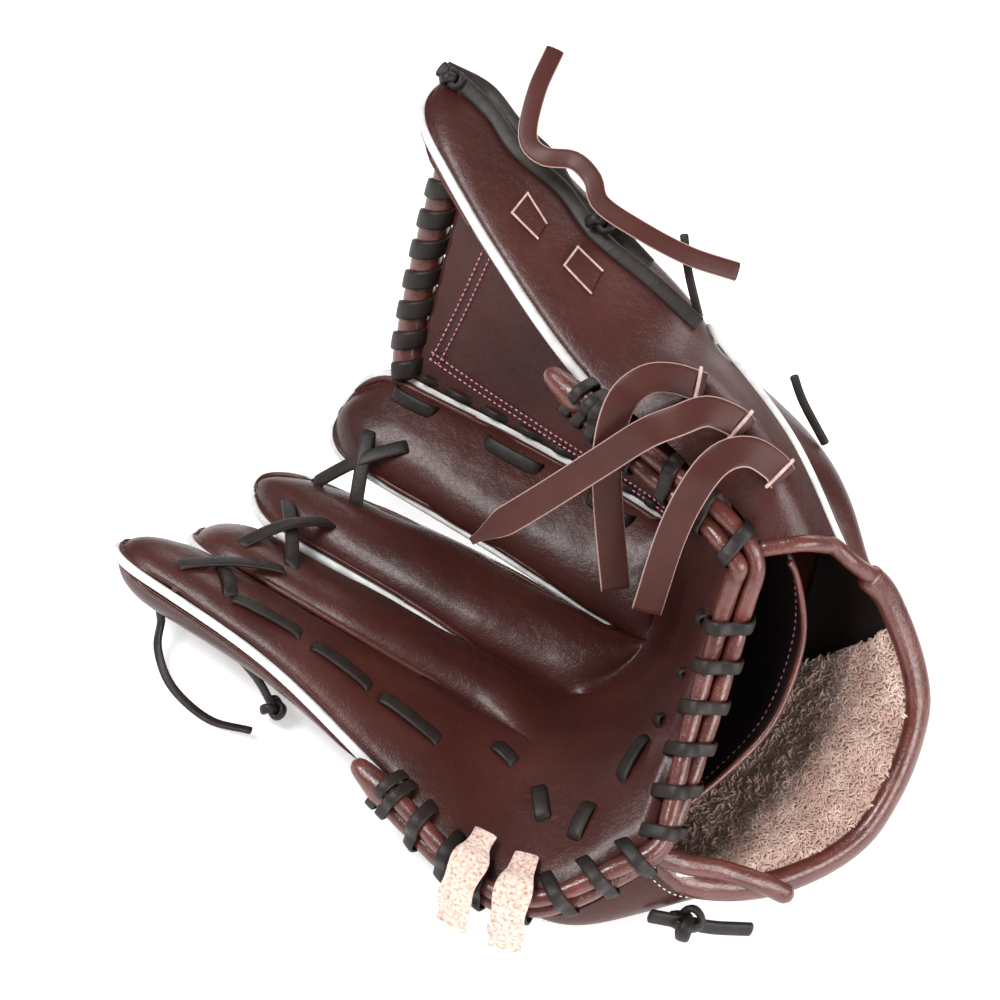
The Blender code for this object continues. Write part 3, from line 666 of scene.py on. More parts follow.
def stall_grid(skin_of, strip, rows):
    station, cap, inset, drop = (r[:, None] for r in rows)
    side, narrow, fall = (c[None, :] for c in stall_columns())
    open_out = smooth(2.0, 2.12, station)
    scale = 1 - (1 - np.minimum(narrow, inset)) * open_out
    return skin_of(strip, side, station, cap, scale, np.maximum(fall, drop) * open_out)


def add_front():
    """Palm and pocket side of the fingers and thumb as one leather, creased where the fingers part."""
    grids = []
    palm_rows = np.linspace(-0.05, 2.0, 84)[:, None]
    for strip in range(6):
        rows = palm_rows if strip != WEB else np.append(palm_rows, 2.035)[:, None]
        grids.append(front_skin(strip, ACROSS[None, :], rows))
    for name, strip in FINGER.items():
        grids.append(stall_grid(front_skin, strip, stall_rows(2.0, TIP[name], 64)))
    for k, grid in enumerate(grids):
        strip = k if k < 6 else list(FINGER.values())[k - 6]
        out = unit(np.cross(np.gradient(grid, axis=1), np.gradient(grid, axis=0)) + 1e-9)
        grids[k] = grid + out * (ripple(grid, 34, 1.1) + ripple(grid, 11, 0.28))[..., None]
    made = sheet_of("front_leather", grids, shell_leather, SHELL_THICK)
    rides(made, "fold", "palm_shell", "palm_fold", "thumb_heel_shell", *(f"{name}_front" for name in FINGER),
          slot="shell_leather")


def add_backs():
    """Backs of the hand and fingers in one leather, the thumb's back, and the side between, bulging out."""
    grids = []
    hand_rows = np.linspace(0.85, 2.0, 40)[:, None]
    for strip in (PINKY, RING, MIDDLE, INDEX, WEB):
        rows = hand_rows if strip != WEB else np.append(hand_rows, np.linspace(2.02, 2.14, 5))[:, None]
        grids.append(back_skin(strip, ACROSS[None, :], rows))
    for name in ("pinky", "ring", "middle", "index"):
        grids.append(stall_grid(back_skin, FINGER[name], stall_rows(2.0, TIP[name], 56)))
    made = sheet_of("back_leather", grids, shell_leather, SHELL_THICK, flip=True)
    rides(made, "fold", "back_panel", *(f"{name}_back" for name in ("pinky", "ring", "middle", "index")),
          slot="shell_leather")
    places, stations = np.linspace(5.36, 5.985, 14)[None, :], np.linspace(0.06, 1.99, 60)[:, None]
    lift = -PANEL_INSET * (1 - smooth(5.38, 5.56, places))
    bulge = np.sin(np.pi * np.clip((places - 5.42) / 0.565, 0, 1))
    lift = lift + SIDE_BULGE * bulge * np.sin(np.pi * stations / 2.1) ** 0.8
    grid = back_surface(BACK, places, stations, lift)
    side = sheet_of("side_leather", [grid], shell_leather, SIDE_THICK, flip=True)
    rides(side, "fold", "back_fold", slot="shell_leather")
    rows = np.linspace(0.04, 2.0, 60)[:, None]
    grids = [back_skin(THUMB, ACROSS[None, :], rows),
             stall_grid(back_skin, THUMB, stall_rows(2.0, TIP["thumb"], 56))]
    thumb = sheet_of("thumb_back_leather", grids, shell_leather, SHELL_THICK, flip=True)
    rides(thumb, "thumb_side", "thumb_back", "thumb_heel_back", slot="shell_leather")
    places = np.linspace(0.0, 0.42, 12)[None, :]
    grid = back_surface(BACK, places, np.linspace(0.06, 1.02, 30)[:, None], -PANEL_INSET)
    rides(sheet_of("pinky_side_leather", [grid], shell_leather, SIDE_THICK, flip=True), "hand")


def add_welts():
    """White piping between the front and back leather of each stall, and down the back of the thumb."""
    half = ((0.90, 1.7), (0.98, 2.1), (1.02, 1.7), (1.04, 0.7))
    profile = [(share, -height) for share, height in half] + list(half[::-1])
    for name, strip in FINGER.items():
        station, cap, _, _ = stall_rows(2.0, TIP[name], 60)
        station, cap = station[:-2], cap[:-2]
        ring = np.concatenate((np.stack((station, cap, -np.ones_like(cap)), 1),
                               np.stack((station, cap, np.ones_like(cap)), 1)[::-1]))
        share, height = np.array(profile).T
        across = ring[:, 2:] * np.cos(ring[:, 1:2]) ** CAP_SHAPE * share
        forward = np.sin(ring[:, 1:2]) ** CAP_SHAPE * share
        station = ring[:, :1] + CAP * forward
        points = point(strip, 0.5 + 0.5 * across, station, np.broadcast_to(height, across.shape))
        rows, columns = points.shape[:2]
        faces = [tuple(f) for f in lattice(rows, columns)]
        for start in range(0, (rows - 1) * columns, columns):
            faces.append((start + columns - 1, start, start + columns, start + 2 * columns - 1))
        faces += [tuple(range(columns)), tuple((rows - 1) * columns + j for j in reversed(range(columns)))]
        made = piece(f"{name}_piping", points.reshape(-1, 3), faces, welt_strip)
        face_out(made)
        rides(made, "thumb_side" if name == "thumb" else "hand", f"{name}_welt", slot="welt")
    side = back_surface(THUMB_BACK, 0.0, np.linspace(0.03, 2.03, 60), 0.6)
    tube = tube_parts(side, 1.1, 1.5, (0.9, -0.2, -0.4), 10, 2.6)
    rides(bundle("thumb_side_piping", [tube], welt_strip), "thumb_side", slot="welt")


def face_out(made):
    work = bmesh.new()
    work.from_mesh(made.data)
    bmesh.ops.recalc_face_normals(work, faces=work.faces)
    work.to_mesh(made.data)
    work.free()


add_front()
add_backs()
add_welts()


# ---------------------------------------------------------------- web
def add_web():
    """One padded panel between index finger and thumb, its laced top roll and the lace down its side."""
    stations, places = np.linspace(2.0, 3.93, 60)[:, None], np.linspace(0.015, 0.97, 60)[None, :]
    puff = 0.5 + 0.9 * np.sin(np.pi * places) * np.sin(np.pi * (stations - 2.0) / 2.0)
    grid = point(WEB, places, stations, 1.5 + puff)
    grid = grid + normal(WEB, places, stations) * ripple(grid, 26, 1.0)[..., None]
    made = sheet_of("web_leather", [grid], shell_leather, WEB_THICK)
    rides(made, "fold", "web_index_side", "web_fold", "web_thumb_side", slot="shell_leather")
    u = np.linspace(0.03, 0.955, 70)
    bar = point(WEB, u, 3.98 + 0.07 * np.sin(np.pi * u), 0.0)
    ahead = unit(np.gradient(bar, axis=0))
    run = np.concatenate(([0.0], np.cumsum(np.linalg.norm(np.diff(bar, axis=0), axis=1))))
    radius = WEB_BAR_RADIUS * (1 - 0.08 * (0.5 + 0.5 * np.cos(2 * np.pi * run / WEB_PITCH)))
    roll = bundle("web_top_roll", [tube_parts(bar, radius, radius, (0, 0, 1), 18)], roll_leather)
    rides(roll, "fold", "web_bar_index", "web_bar_thumb", slot="shell_leather")
    turns = int(run[-1] / WEB_PITCH)
    angle = np.linspace(0, 2 * np.pi * turns, turns * 30 + 1)
    reached = angle / (2 * np.pi) * WEB_PITCH
    centre = np.stack([np.interp(reached, run, bar[:, k]) for k in range(3)], 1)
    forward = unit(np.stack([np.interp(reached, run, ahead[:, k]) for k in range(3)], 1))
    face = unit(np.cross(forward, np.cross((0.0, 0.0, 1.0), forward)))
    out = np.cos(angle)[:, None] * face + np.sin(angle)[:, None] * np.cross(forward, face)
    lace = centre + out * (WEB_BAR_RADIUS + 0.5)
    wrap = tube_parts(lace, 4.5, 1.1, out, 12, 3.4)
    rides(bundle("web_top_lace", [wrap], lace_leather), "fold", slot="lace")
    s, u = np.linspace(2.1, 3.85, 60), 0.045
    path = point(WEB, u, s, 2.6 + 1.6 * np.sin((s - 2.1) * 26))
    weave = tube_parts(path, 1.9, 0.9, normal(WEB, u, s), 10, 3.0)
    rides(bundle("web_side_lace", [weave], lace_leather), "hand", "web_index_lace", slot="lace")


add_web()


# ---------------------------------------------------------------- heel rolls, laces and knobs
# One turn of lace over both rolls, as outward and upward places, and the distance to the next turn.
WRAP_PATH = ((-11, 5.0), (-7, 8.2), (-2, 9.3), (2.5, 8.9), (5.4, 6.2), (5.2, 3.0), (4.6, 0), (5.2, -3.0),
             (5.4, -6.2), (2.5, -8.9), (-2, -9.3), (-7, -8.0))
WRAP_PITCH = 19.0


def wrap_tube(line, out, rise, at, lean, wide=3.0):
    """One turn of flat lace over both rolls, leaning along the edge by a few mm."""
    ahead = np.cross(out[at], rise[at])
    spots = np.array([line[at] + out[at] * x + rise[at] * y + ahead * lean * (k / (len(WRAP_PATH) - 1) - 0.5)
                      for k, (x, y) in enumerate(WRAP_PATH)])
    fine, places = sweep(spots, 1.3)
    inward = along(np.array([out[at] * x * 0.7 + rise[at] * y for x, y in WRAP_PATH]), places)
    return tube_parts(fine, wide, 0.85, unit(inward), 12, 3.2)


def add_rolls():
    """Two rolls along the heel and the thumb's edge, pinched under their laces, with a knob at each end."""
    line, out, rise, fold = laced_edge(EDGE_STEP)
    wraps = {}
    for part, run in (("thumb", (0, fold - 1)), ("heel", (fold + 1, len(line)))):
        long = run[1] - run[0]
        turns = round((long - 16) / WRAP_PITCH)
        wraps[part] = [run[0] + round(9 + (long - 20) * (i + 0.3) / turns) for i in range(turns)]
    ends = {"thumb": (1, 8), "heel": (len(line) - 8, len(line) - 2)}
    wrapped = np.array(wraps["thumb"] + wraps["heel"])
    near = np.min(abs(np.arange(len(line))[:, None] - wrapped[None, :]), axis=1)
    radius = ROLL_RADIUS * (1 - 0.12 * np.exp(-((near / 3.2) ** 2)))
    for name, side in (("front", 1), ("inner", -1)):
        centre = line + rise * side * ROLL_PITCH + ripple(line, 16, 0.7)[:, None] * out
        roll = bundle(f"edge_roll_{name}", [tube_parts(centre, radius, radius, rise, 18)], roll_leather)
        rides(roll, "fold", f"thumb_roll_{name}", f"heel_roll_{name}", slot="shell_leather")
    for part, body in (("thumb", "thumb_side"), ("heel", "hand")):
        turns = [wrap_tube(line, out, rise, at, -7.0) for at in wraps[part]]
        turns += [wrap_tube(line, out, rise, at, 1.5, 2.5) for at in ends[part]]
        rides(bundle(f"{part}_edge_lace", turns, lace_leather), body, f"{part}_lace", slot="lace")
    for name, body, k, ahead in (("thumb_knob", "thumb_side", 0, line[0] - line[6]),
                                 ("pinky_knob", "hand", -1, line[-1] - line[-7])):
        path = line[k] + np.outer((0.0, 3.0, 6.0, 9.0, 12.0), unit(ahead))
        wide, thick = (6.6, 6.2, 5.8, 5.4, 4.8), (6.8, 6.4, 5.6, 5.0, 4.4)
        knob = bundle(name + "_leather", [tube_parts(path, wide, thick, rise[k], 16, 2.0, 0.6)], roll_leather)
        rides(knob, body, name, slot="shell_leather")


add_rolls()


# ---------------------------------------------------------------- thumb loop straps and suede ends
def add_straps():
    """Three flat straps over the pocket, the middle one pointed, and the two suede ends of the other loop."""
    for number, route in enumerate(LOOP_STRAPS, 1):
        path, _ = sweep(route, 2.5)
        t = np.linspace(0, 1, len(path))
        wide = 6.4 * (1 - 0.72 * smooth(0.86, 1.0, t) * (number == 2))
        tube = tube_parts(path, wide, 1.0, POCKET_OUT, 16, 4.5, 0.15)
        rides(bundle(f"loop_strap_{number}", [tube], strap_leather), "fold", f"thumb_loop_strap_{number}",
              slot="shell_leather")
    line, out, rise, _ = laced_edge(EDGE_STEP)
    profile = ((-17, 10.5), (-8, 12.5), (-1, 15.0), (7, 12.0), (12, 3.5), (13, -6), (14, -14))
    tilts = np.radians((0, 0, 0, 45, 80, 85, 85))
    for number, (share, lean) in enumerate(((0.8, -2.0), (0.848, 9.0)), 1):
        k = round(share * (len(line) - 1))
        ahead = np.cross(out[k], rise[k])
        spots = np.array([line[k] + out[k] * x + rise[k] * y + ahead * lean * (1 - i / 6)
                          for i, (x, y) in enumerate(profile)])
        path, places = sweep(spots, 1.2)
        ups = along(np.outer(np.cos(tilts), rise[k]) + np.outer(np.sin(tilts), out[k]), places)
        t = np.linspace(0, 1, len(path))
        wide = 7.6 * (0.62 + 0.38 * smooth(0.0, 0.35, t)) + 0.5 * np.sin(t * 17 + number)
        end = bundle(f"suede_end_{number}", [tube_parts(path, wide, 1.2, ups, 20, 4.0, 0.3)], suede)
        rides(end, "hand", f"pinky_loop_end_{number}", slot="suede")


add_straps()


# ---------------------------------------------------------------- wrist strap, fleece and binding
STRAP_END = ((-58, 0, -4), (-55.5, -10, -21), (-50, -17, -40), (-46, -27, -56), (-45, -32, -67))


def add_wrist():
    """Wrist strap with its binding, facing and rolled end; returns the lumpy base of its fleece lining."""
    places, stations = np.linspace(0.30, 5.45, 130)[None, :], np.linspace(0.0, 1.1, 34)[:, None]
    grid = back_surface(BACK, places, stations)
    grid = grid + ripple(grid, 30, 1.2)[..., None] * unit(grid - grid.mean(axis=(0, 1)))
    strap = sheet_of("wrist_strap_leather", [grid], shell_leather, STRAP_THICK, flip=True)
    rides(strap, "wrist_closure", "wrist_strap", slot="shell_leather")
    rim_places = np.linspace(0.22, 5.5, 150)
    rim = back_surface(BACK, rim_places, 0.0, -STRAP_THICK)
    wobble = ripple(rim, 22, 0.7)
    tube = tube_parts(rim, 5.9 + 0.5 * wobble, 4.5 + 0.3 * wobble, (0, 1, 0), 22, 2.3)
    binding = bundle("wrist_binding", [tube], roll_leather)
    rides(binding, "wrist_closure", "strap_binding", slot="shell_leather")
    # The facing is a near-black sheet above the fleece: dark leather with the binding's shadow painted into
    # its colour.
    grid = back_surface(BACK, np.linspace(3.4, 5.22, 56)[None, :], stations, -4.4)
    facing = sheet_of("wrist_facing", [grid], lining_leather, 1.0, flip=True)
    rides(facing, "wrist_closure", slot="shell_leather")
    end, _ = sweep(STRAP_END, 1.2)
    rides(bundle("strap_end_roll", [tube_parts(end, 4.6, 4.0, TOWARD_CAMERA, 20, 2.2, 0.6)], roll_leather),
          "wrist_closure", slot="shell_leather")
    under = end[:-14] - VIEW_UP * 5.4 - TOWARD_CAMERA * 1.5
    rides(bundle("strap_end_piping", [tube_parts(under, 1.5, 1.3, TOWARD_CAMERA, 10, 2.6)], welt_strip),
          "wrist_closure", slot="welt")
    stations = np.linspace(0.015, 1.08, 60)[:, None]
    places = 0.36 + (4.42 - 1.0 * stations) * np.linspace(0, 1, 200)[None, :]
    depth = -4.6 - 3.4 * smooth(0.0, 0.22, stations)
    grid = back_surface(BACK, places, stations, depth)
    inward = unit(back_surface(BACK, places, stations, depth - 1.0) - grid)
    clumps = 3.2 * abs(ripple(grid, 12, 1.0)) + 1.6 * abs(ripple(grid + 50, 6, 1.0)) + ripple(grid, 3, 1.0)
    return sheet_of("fleece_base", [grid + inward * clumps[..., None]], fleece_pile, 0.0)


fleece_base = add_wrist()


# ---------------------------------------------------------------- repeated threads and pile
def node_tree(name, numbers, material):
    """Empty Geometry Nodes tree with named number inputs; returns it with its input and output nodes."""
    tree = bpy.data.node_groups.new(name, "GeometryNodeTree")
    tree.is_modifier = True
    tree.interface.new_socket("Geometry", in_out="INPUT", socket_type="NodeSocketGeometry")
    tree.interface.new_socket("Geometry", in_out="OUTPUT", socket_type="NodeSocketGeometry")
    for label, kind, value in numbers:
        tree.interface.new_socket(label, in_out="INPUT", socket_type=kind).default_value = value
    start, end = tree.nodes.new("NodeGroupInput"), tree.nodes.new("NodeGroupOutput")
    real, paint = tree.nodes.new("GeometryNodeRealizeInstances"), tree.nodes.new("GeometryNodeSetMaterial")
    paint.inputs["Material"].default_value = material
    tree.links.new(real.outputs["Geometry"], paint.inputs["Geometry"])
    tree.links.new(paint.outputs["Geometry"], end.inputs["Geometry"])
    return tree, start, real


def grown(guide, tree, values, name):
    """Runs a tree on a guide object and keeps what it makes as a plain mesh, without the guide."""
    grow = guide.modifiers.new("grow", "NODES")
    grow.node_group = tree
    for item in tree.interface.items_tree:
        if item.item_type == "SOCKET" and item.in_out == "INPUT" and item.name in values:
            grow[item.identifier] = values[item.name]
    bpy.context.view_layer.update()
    ready = guide.evaluated_get(bpy.context.evaluated_depsgraph_get())
    data = bpy.data.meshes.new_from_object(ready)
    data.name = name
    made = bpy.data.objects.new(name, data)
    bpy.context.scene.collection.objects.link(made)
    guide.modifiers.clear()
    bpy.data.objects.remove(guide)
    data.shade_smooth()
    return made


def stitch_tree(thread):
    """Stitches along a line: rounded lengths of thread, evenly spaced and turned to follow it."""
    sizes = (("Pitch", 0.003), ("Stitch", 0.0022), ("Thread", 0.0003))
    tree, start, real = node_tree(f"stitches_{thread.name}",
                                  [(label, "NodeSocketFloat", size) for label, size in sizes], thread)
    node, join = tree.nodes.new, tree.links.new
    line, spread, ball = (node("GeometryNodeMeshToCurve"), node("GeometryNodeResampleCurve"),
                          node("GeometryNodeMeshUVSphere"))
    spread.mode = "LENGTH"
    ball.inputs["Segments"].default_value, ball.inputs["Rings"].default_value = 6, 4
    join(start.outputs["Geometry"], line.inputs["Mesh"])
    join(line.outputs["Curve"], spread.inputs["Curve"])
    join(start.outputs["Pitch"], spread.inputs["Length"])
    turn, put, size, half = (node("FunctionNodeAlignRotationToVector"), node("GeometryNodeInstanceOnPoints"),
                             node("ShaderNodeCombineXYZ"), node("ShaderNodeMath"))
    turn.axis = "X"
    join(node("GeometryNodeInputTangent").outputs["Tangent"], turn.inputs["Vector"])
    half.operation = "MULTIPLY"
    half.inputs[1].default_value = 0.5
    join(start.outputs["Stitch"], half.inputs[0])
    join(half.outputs[0], size.inputs["X"])
    join(start.outputs["Thread"], size.inputs["Y"])
    join(start.outputs["Thread"], size.inputs["Z"])
    join(spread.outputs["Curve"], put.inputs["Points"])
    join(ball.outputs["Mesh"], put.inputs["Instance"])
    join(turn.outputs["Rotation"], put.inputs["Rotation"])
    join(size.outputs["Vector"], put.inputs["Scale"])
    join(put.outputs["Instances"], real.inputs["Geometry"])
    return tree


STITCHES = {"pink": stitch_tree(pink_thread), "pale": stitch_tree(pale_thread)}


def stitched(name, rows, thread, body, pitch=3.0, stitch=2.1, radius=0.32):
    """Rows of stitches along lines of points in the hand frame."""
    points, edges = [], []
    for row in rows:
        edges += [(len(points) + i, len(points) + i + 1) for i in range(len(row) - 1)]
        points += list(world(row))
    data = bpy.data.meshes.new(name + "_line")
    data.from_pydata([tuple(p) for p in points], edges, [])
    guide = bpy.data.objects.new(name + "_line", data)
    bpy.context.scene.collection.objects.link(guide)
    sizes = {"Pitch": pitch * MM, "Stitch": stitch * MM, "Thread": radius * MM}
    rides(grown(guide, STITCHES[thread], sizes, name), body)


CURLS_PER_SQUARE_METRE = 540000.0
CURL_RADIUS = 1.45
CURL_SEED, SWING_SEED, SIZE_SEED = 7, 3, 11


def pile_tree():
    """Fleece: short curls of wool scattered over a surface, each turned and sized at random."""
    tree, start, real = node_tree("fleece_curls", (("Density", "NodeSocketFloat", CURLS_PER_SQUARE_METRE),
                                                   ("Curl", "NodeSocketFloat", CURL_RADIUS * MM),
                                                   ("Seed", "NodeSocketInt", CURL_SEED)), fleece_pile)
    node, join = tree.nodes.new, tree.links.new
    scatter, arc, ring, strand = (node("GeometryNodeDistributePointsOnFaces"), node("GeometryNodeCurveArc"),
                                  node("GeometryNodeCurvePrimitiveCircle"), node("GeometryNodeCurveToMesh"))
    arc.inputs["Resolution"].default_value = 5
    arc.inputs["Radius"].default_value = 1.0
    arc.inputs["Start Angle"].default_value = math.radians(-20)
    arc.inputs["Sweep Angle"].default_value = math.radians(220)
    ring.inputs["Resolution"].default_value = 3
    ring.inputs["Radius"].default_value = 0.30
    join(start.outputs["Geometry"], scatter.inputs["Mesh"])
    join(start.outputs["Density"], scatter.inputs["Density"])
    join(start.outputs["Seed"], scatter.inputs["Seed"])
    join(arc.outputs["Curve"], strand.inputs["Curve"])
    join(ring.outputs["Curve"], strand.inputs["Profile Curve"])
    stand, put = node("FunctionNodeRotateRotation"), node("GeometryNodeInstanceOnPoints")
    swing, sizes = node("FunctionNodeRandomValue"), node("FunctionNodeRandomValue")
    scale = node("ShaderNodeMath")
    stand.rotation_space = "LOCAL"
    swing.data_type = "FLOAT_VECTOR"
    swing.inputs["Min"].default_value = (math.radians(40), -0.6, -math.pi)
    swing.inputs["Max"].default_value = (math.radians(140), 0.6, math.pi)
    swing.inputs["Seed"].default_value = SWING_SEED
    sizes.inputs[2].default_value, sizes.inputs[3].default_value = 0.6, 1.35
    sizes.inputs["Seed"].default_value = SIZE_SEED
    scale.operation = "MULTIPLY"
    join(sizes.outputs[1], scale.inputs[0])
    join(start.outputs["Curl"], scale.inputs[1])
    join(scatter.outputs["Rotation"], stand.inputs["Rotation"])
    join(swing.outputs["Value"], stand.inputs["Rotate By"])
    join(scatter.outputs["Points"], put.inputs["Points"])
    join(strand.outputs["Mesh"], put.inputs["Instance"])
    join(stand.outputs["Rotation"], put.inputs["Rotation"])
    join(scale.outputs[0], put.inputs["Scale"])
    join(put.outputs["Instances"], real.inputs["Geometry"])
    return tree


def add_fleece():
    """Curls of pile over the lumpy base that lines the strap."""
    guide = fleece_base.copy()
    guide.data = fleece_base.data.copy()
    bpy.context.scene.collection.objects.link(guide)
    sizes = {"Density": CURLS_PER_SQUARE_METRE, "Curl": CURL_RADIUS * MM, "Seed": CURL_SEED}
    curls = grown(guide, pile_tree(), sizes, "fleece_curls")
    rides(curls, "wrist_closure", slot="fleece")
    rides(fleece_base, "wrist_closure", "strap_fleece", slot="fleece")


add_fleece()


# ---------------------------------------------------------------- inside of the wrist
def add_inside():
    """Lining flap inside the wrist with its rolled edge, and the binding that goes round the thumb's heel."""
    columns, rows = 60, 24
    t, depth = np.linspace(0, 1, columns)[None, :], np.linspace(0, 1, rows)[:, None]
    near = [point(*strip_place(across), 0.12 + 1.1 * d, -5.0)
            for d in depth[:, 0] for across in np.interp(t[0], (0, 1), (0.9, 5.6))]
    near = np.reshape(near, (rows, columns, 3))
    far = back_surface(BACK, 0.9 + 4.6 * t, 0.14 + 1.1 * depth, -12.0)
    share = 0.36 + 0.05 * np.sin(np.pi * t) - 0.12 * depth
    grid = near + (far - near) * share[..., None]
    # The flap's near-black colour paints the shade deep inside the wrist on top of its own dark leather.
    rides(sheet_of("lining_flap", [grid], lining_leather, 1.5), "hand", slot="lining_leather")
    edge = grid[0] + 0.6 * unit(grid[0] - grid[1])
    rides(bundle("lining_flap_edge", [tube_parts(edge[::2], 1.5, 1.5, POCKET_OUT, 12)], roll_leather), "hand",
          slot="lining_leather")
    stitched("lining_flap_stitching", [grid[2] + 1.0 * POCKET_OUT], "pink", "hand", 3.2, 2.2, 0.34)
    thumb_rim = back_surface(THUMB_BACK, np.linspace(1.86, 0.0, 40), 0.03, -1.0)
    wrist_rim = back_surface(BACK, np.linspace(5.96, 5.3, 16), 0.0, -1.5)
    path, _ = sweep(np.concatenate((thumb_rim[::5], wrist_rim[::5])), 1.5)
    rides(bundle("thumb_rim_binding", [tube_parts(path, 3.7, 3.7, (0, 1, 0), 18)], roll_leather), "fold",
          slot="shell_leather")


add_inside()


# ---------------------------------------------------------------- stitching
def add_stitching():
    """Double rows down the web's finger side and along its top, and rows along both edges of the strap."""
    on_web = 3.6
    s, u = np.linspace(2.02, 3.84, 90), np.linspace(0.14, 0.9, 80)
    rows = [point(WEB, 0.05 + 0.09 * ((s - 2) / 1.84) ** 2 + shift, s, on_web) for shift in (0.0, 0.028)]
    rows += [point(WEB, u, 3.84 - 0.32 * (u - 0.14) - shift, on_web) for shift in (0.0, 0.055)]
    stitched("web_stitching", rows, "pink", "fold", 2.8, 2.0, 0.42)
    places = np.linspace(0.4, 5.35, 200)
    rows = [back_surface(BACK, places, station, 0.3) for station in (0.13, 1.03)]
    stitched("strap_edge_stitching", rows, "pale", "wrist_closure")
    rows = [back_surface(BACK, places, 0.12, -3.4)]
    stitched("binding_stitching", rows, "pink", "wrist_closure", 3.4, 2.4, 0.4)


add_stitching()


# ---------------------------------------------------------------- knots, finger laces and dashes
def knot_tube(centre, size, turn, wide=2.2, thick=1.3):
    """Overhand knot of flat lace."""
    t = np.linspace(0.12, 2 * np.pi - 0.12, 70)
    shape = (np.sin(t) + 2 * np.sin(2 * t), np.cos(t) - 2 * np.cos(2 * t), -1.3 * np.sin(3 * t))
    shape = np.stack(shape, 1) / 3.0
    path = np.array(centre, float) + size * shape @ np.array(Euler(turn).to_matrix()).T
    return tube_parts(path, wide, thick, path - np.array(centre) + 0.01, 10, 2.6)


def strand_tube(a, b, high):
    """Flat lace over the front from one hole to another, each given as strip, place across and station."""
    wide, thick, dip = 3.4, 1.1, 2.5
    ends = [[front_skin(*hole, lift=lift) for lift in (-dip, thick)] for hole in (a, b)]
    (a_in, a_out), (b_in, b_out) = ends
    across = b_out - a_out
    out = unit(unit(a_out - a_in) + unit(b_out - b_in))
    reach = across * min(0.3, 2.0 / np.linalg.norm(across))
    top = a_out + across / 2 + out * high
    path, _ = sweep(np.array((a_in, a_out + reach, top, b_out - reach, b_in)), 1.2)
    return tube_parts(path, wide, thick, out, 12, 3.4)


# Each length of lace runs from one hole to another and rises between them. A hole is a strip, a place across
# its stall from -1 to 1, and a station.
TIP_CROSSES = {
    "index": (((INDEX, -0.35, 3.98), (MIDDLE, 0.60, 3.60), 2.2),
              ((MIDDLE, 0.88, 3.84), (INDEX, -0.25, 3.74), 4.6)),
    "middle": (((MIDDLE, -0.62, 3.93), (RING, -0.60, 3.52), 2.2),
               ((RING, -0.75, 3.80), (MIDDLE, -0.55, 3.66), 4.6)),
    "ring": (((PINKY, -0.60, 3.73), (RING, -0.80, 3.52), 2.4),
             ((PINKY, 0.20, 3.64), (PINKY, -0.57, 3.40), 1.2)),
}
DASHES = {
    "index_dashes": (((INDEX, 0.86, 3.98), (INDEX, 0.84, 3.70), 1.0),
                     ((INDEX, 0.80, 3.34), (INDEX, 0.78, 2.94), 1.0),
                     ((INDEX, 0.80, 2.58), (INDEX, 0.80, 2.22), 1.0)),
    "palm_dashes": (((PINKY, 0.45, 1.66), (PINKY, 0.48, 1.42), 0.8),
                    ((PINKY, 0.43, 1.13), (PINKY, 0.0, 0.96), 0.9),
                    ((RING, -0.05, 0.27), (PINKY, 0.80, 0.36), 0.9),
                    ((PINKY, 0.33, 0.56), (PINKY, -0.35, 0.61), 0.9),
                    ((MIDDLE, 0.30, 0.16), (MIDDLE, -0.20, 0.17), 0.9),
                    ((INDEX, 0.30, 0.16), (INDEX, -0.20, 0.17), 0.9),
                    ((RING, 0.70, 0.20), (RING, 0.25, 0.22), 0.9)),
    "pinky_slots": (((PINKY, -0.60, 3.38), (PINKY, -0.36, 2.98), 0.9),
                    ((PINKY, -0.38, 2.88), (PINKY, -0.27, 2.50), 0.9),
                    ((PINKY, -0.27, 2.40), (PINKY, -0.20, 1.95), 0.9)),
}

# Corners and strands behind the thumb, as places across its back and stations.
THUMB_PATCHES = (((0.58, 3.12), (0.23, 3.18), (0.28, 2.96), (0.50, 2.90)),
                 ((0.43, 2.67), (0.15, 2.73), (0.10, 2.53), (0.38, 2.44)))
THUMB_STRANDS = (((0.05, 4.12), (-0.10, 3.92), (-0.14, 3.70), (-0.06, 3.44), (-0.20, 3.11), (-0.14, 2.74),
                  (-0.30, 2.35), (-0.50, 1.98)),
                 ((-0.05, 4.10), (-0.42, 3.88), (-0.36, 3.60), (-0.44, 3.34), (-0.28, 3.05), (-0.42, 2.74),
                  (-0.44, 2.45)))
TAIL_ROOT = (PINKY_TAIL[0], (-86, 218, 96), (-82, 205, 96), (-84, 188, 84), (-90, 172, 68), PINKY_KNOT)


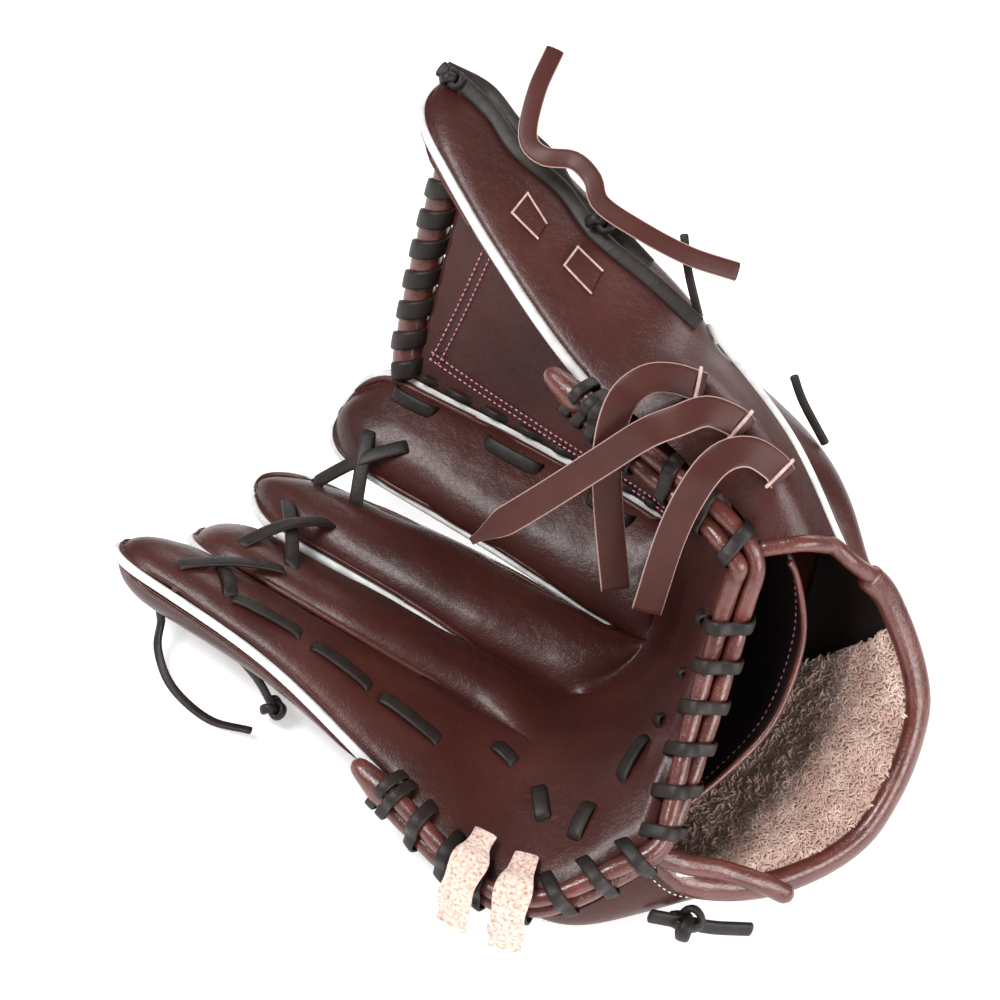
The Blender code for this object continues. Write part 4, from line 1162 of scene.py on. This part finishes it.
def add_laces():
    """Laces between the fingertips and over the palm and fingers, the thumb's strands, and the knots."""
    for name, crosses in TIP_CROSSES.items():
        pair = bundle(f"tip_lace_{name}_pair", [strand_tube(*cross) for cross in crosses], lace_leather)
        rides(pair, "hand", f"tip_lace_{name}", slot="lace")
    for name, dashes in DASHES.items():
        rides(bundle(name, [strand_tube(*dash) for dash in dashes], lace_leather), "hand", slot="lace")
    for number, places in enumerate(THUMB_STRANDS, 1):
        places = np.array(places)
        path, _ = sweep(back_skin(THUMB, places[:, 0], places[:, 1], lift=2.6 - 0.7 * number), 1.5)
        lace = tube_parts(path, 3.7, 1.3, TOWARD_CAMERA, 12, 3.0)
        rides(bundle(f"thumb_back_strand_{number}", [lace], lace_leather), "thumb_side",
              f"thumb_back_lace_{number}", slot="lace")
    tip = back_skin(THUMB, 0.0, TIP["thumb"] - CAP, cap=0.9, lift=5.0)
    for name, centre, size, body in (("thumb_tip_knot", tip, 4.8, "thumb_side"),
                                     ("web_knot", WEB_KNOT, 6.0, "thumb_side"),
                                     ("pinky_lace_knot", PINKY_KNOT, 5.0, "hand")):
        knot = bundle(name + "_tied", [knot_tube(centre, size, (0.4, 0.8, 0.3))], lace_leather)
        rides(knot, body, name, slot="lace")
    path, _ = sweep(WRIST_LACE, 2.0)
    tubes = [tube_parts(path, 3.4, 1.6, (0.4, 0.5, -0.6), 12, 2.6),
             knot_tube(WRIST_LACE[1], 7.0, (0.2, 0.3, 1.2), 3.0, 1.6)]
    rides(bundle("wrist_lace_tied", tubes, lace_leather), "wrist_closure", "wrist_lace", slot="lace")
    path, _ = sweep(TAIL_ROOT, 2.0)
    root = tube_parts(path, 2.4, 1.1, (0.6, 0.2, -0.7), 12, 3.0)
    rides(bundle("pinky_tail_root", [root], lace_leather), "hand", slot="lace")


def add_patches():
    """Two small square patches on the thumb with raw raised edges."""
    u, v = np.meshgrid(np.linspace(0, 1, 14), np.linspace(0, 1, 14))
    patches, edges = [], []
    for corners in THUMB_PATCHES:
        a, b, c, d = np.array(corners)
        shares = ((1 - u) * (1 - v), u * (1 - v), u * v, (1 - u) * v)
        place = sum(share[..., None] * corner for share, corner in zip(shares, (a, b, c, d)))
        patches.append(back_skin(THUMB, place[..., 0], place[..., 1], lift=1.2))
        for one, other in ((a, b), (b, c), (d, a)):
            line = one + (other - one) * np.linspace(0, 1, 14)[:, None]
            raised = back_skin(THUMB, line[:, 0], line[:, 1], lift=1.2)
            edges.append(tube_parts(raised, 0.5, 0.9, TOWARD_CAMERA, 8))
    made = sheet_of("thumb_patches", patches, shell_leather, 1.2, flip=True)
    rides(made, "thumb_side", slot="shell_leather")
    rides(bundle("thumb_patch_edges", edges, raw_edge), "thumb_side", slot="suede")


def add_slits():
    """Slits in the back of the thumb, with raw edges, through which the loop straps pass."""
    edges = []
    for route in LOOP_STRAPS:
        start, away = np.array(route[0], float), unit(np.array(route[1], float) - np.array(route[0], float))
        side = unit(np.cross(away, POCKET_OUT))
        t = np.linspace(-1, 1, 16)[:, None]
        for lift in (-1.6, 1.6):
            edge = start + away * 3.0 + side * t * 7.6 + POCKET_OUT * (lift * (1 - t ** 2) + 0.4)
            edges.append(tube_parts(edge, 0.6, 0.9, away, 8))
    rides(bundle("loop_slit_edges", edges, raw_edge), "thumb_side", slot="suede")


add_patches()
add_slits()
add_laces()

# The palm lining takes the near-black lining colour, which is partly painted shade.
for node, skin in (("palm_lining", lining_leather), ("palm_pad", felt), ("thumb_pad", felt)):
    for place in frame["nodes"][node].material_slots:
        place.material = skin
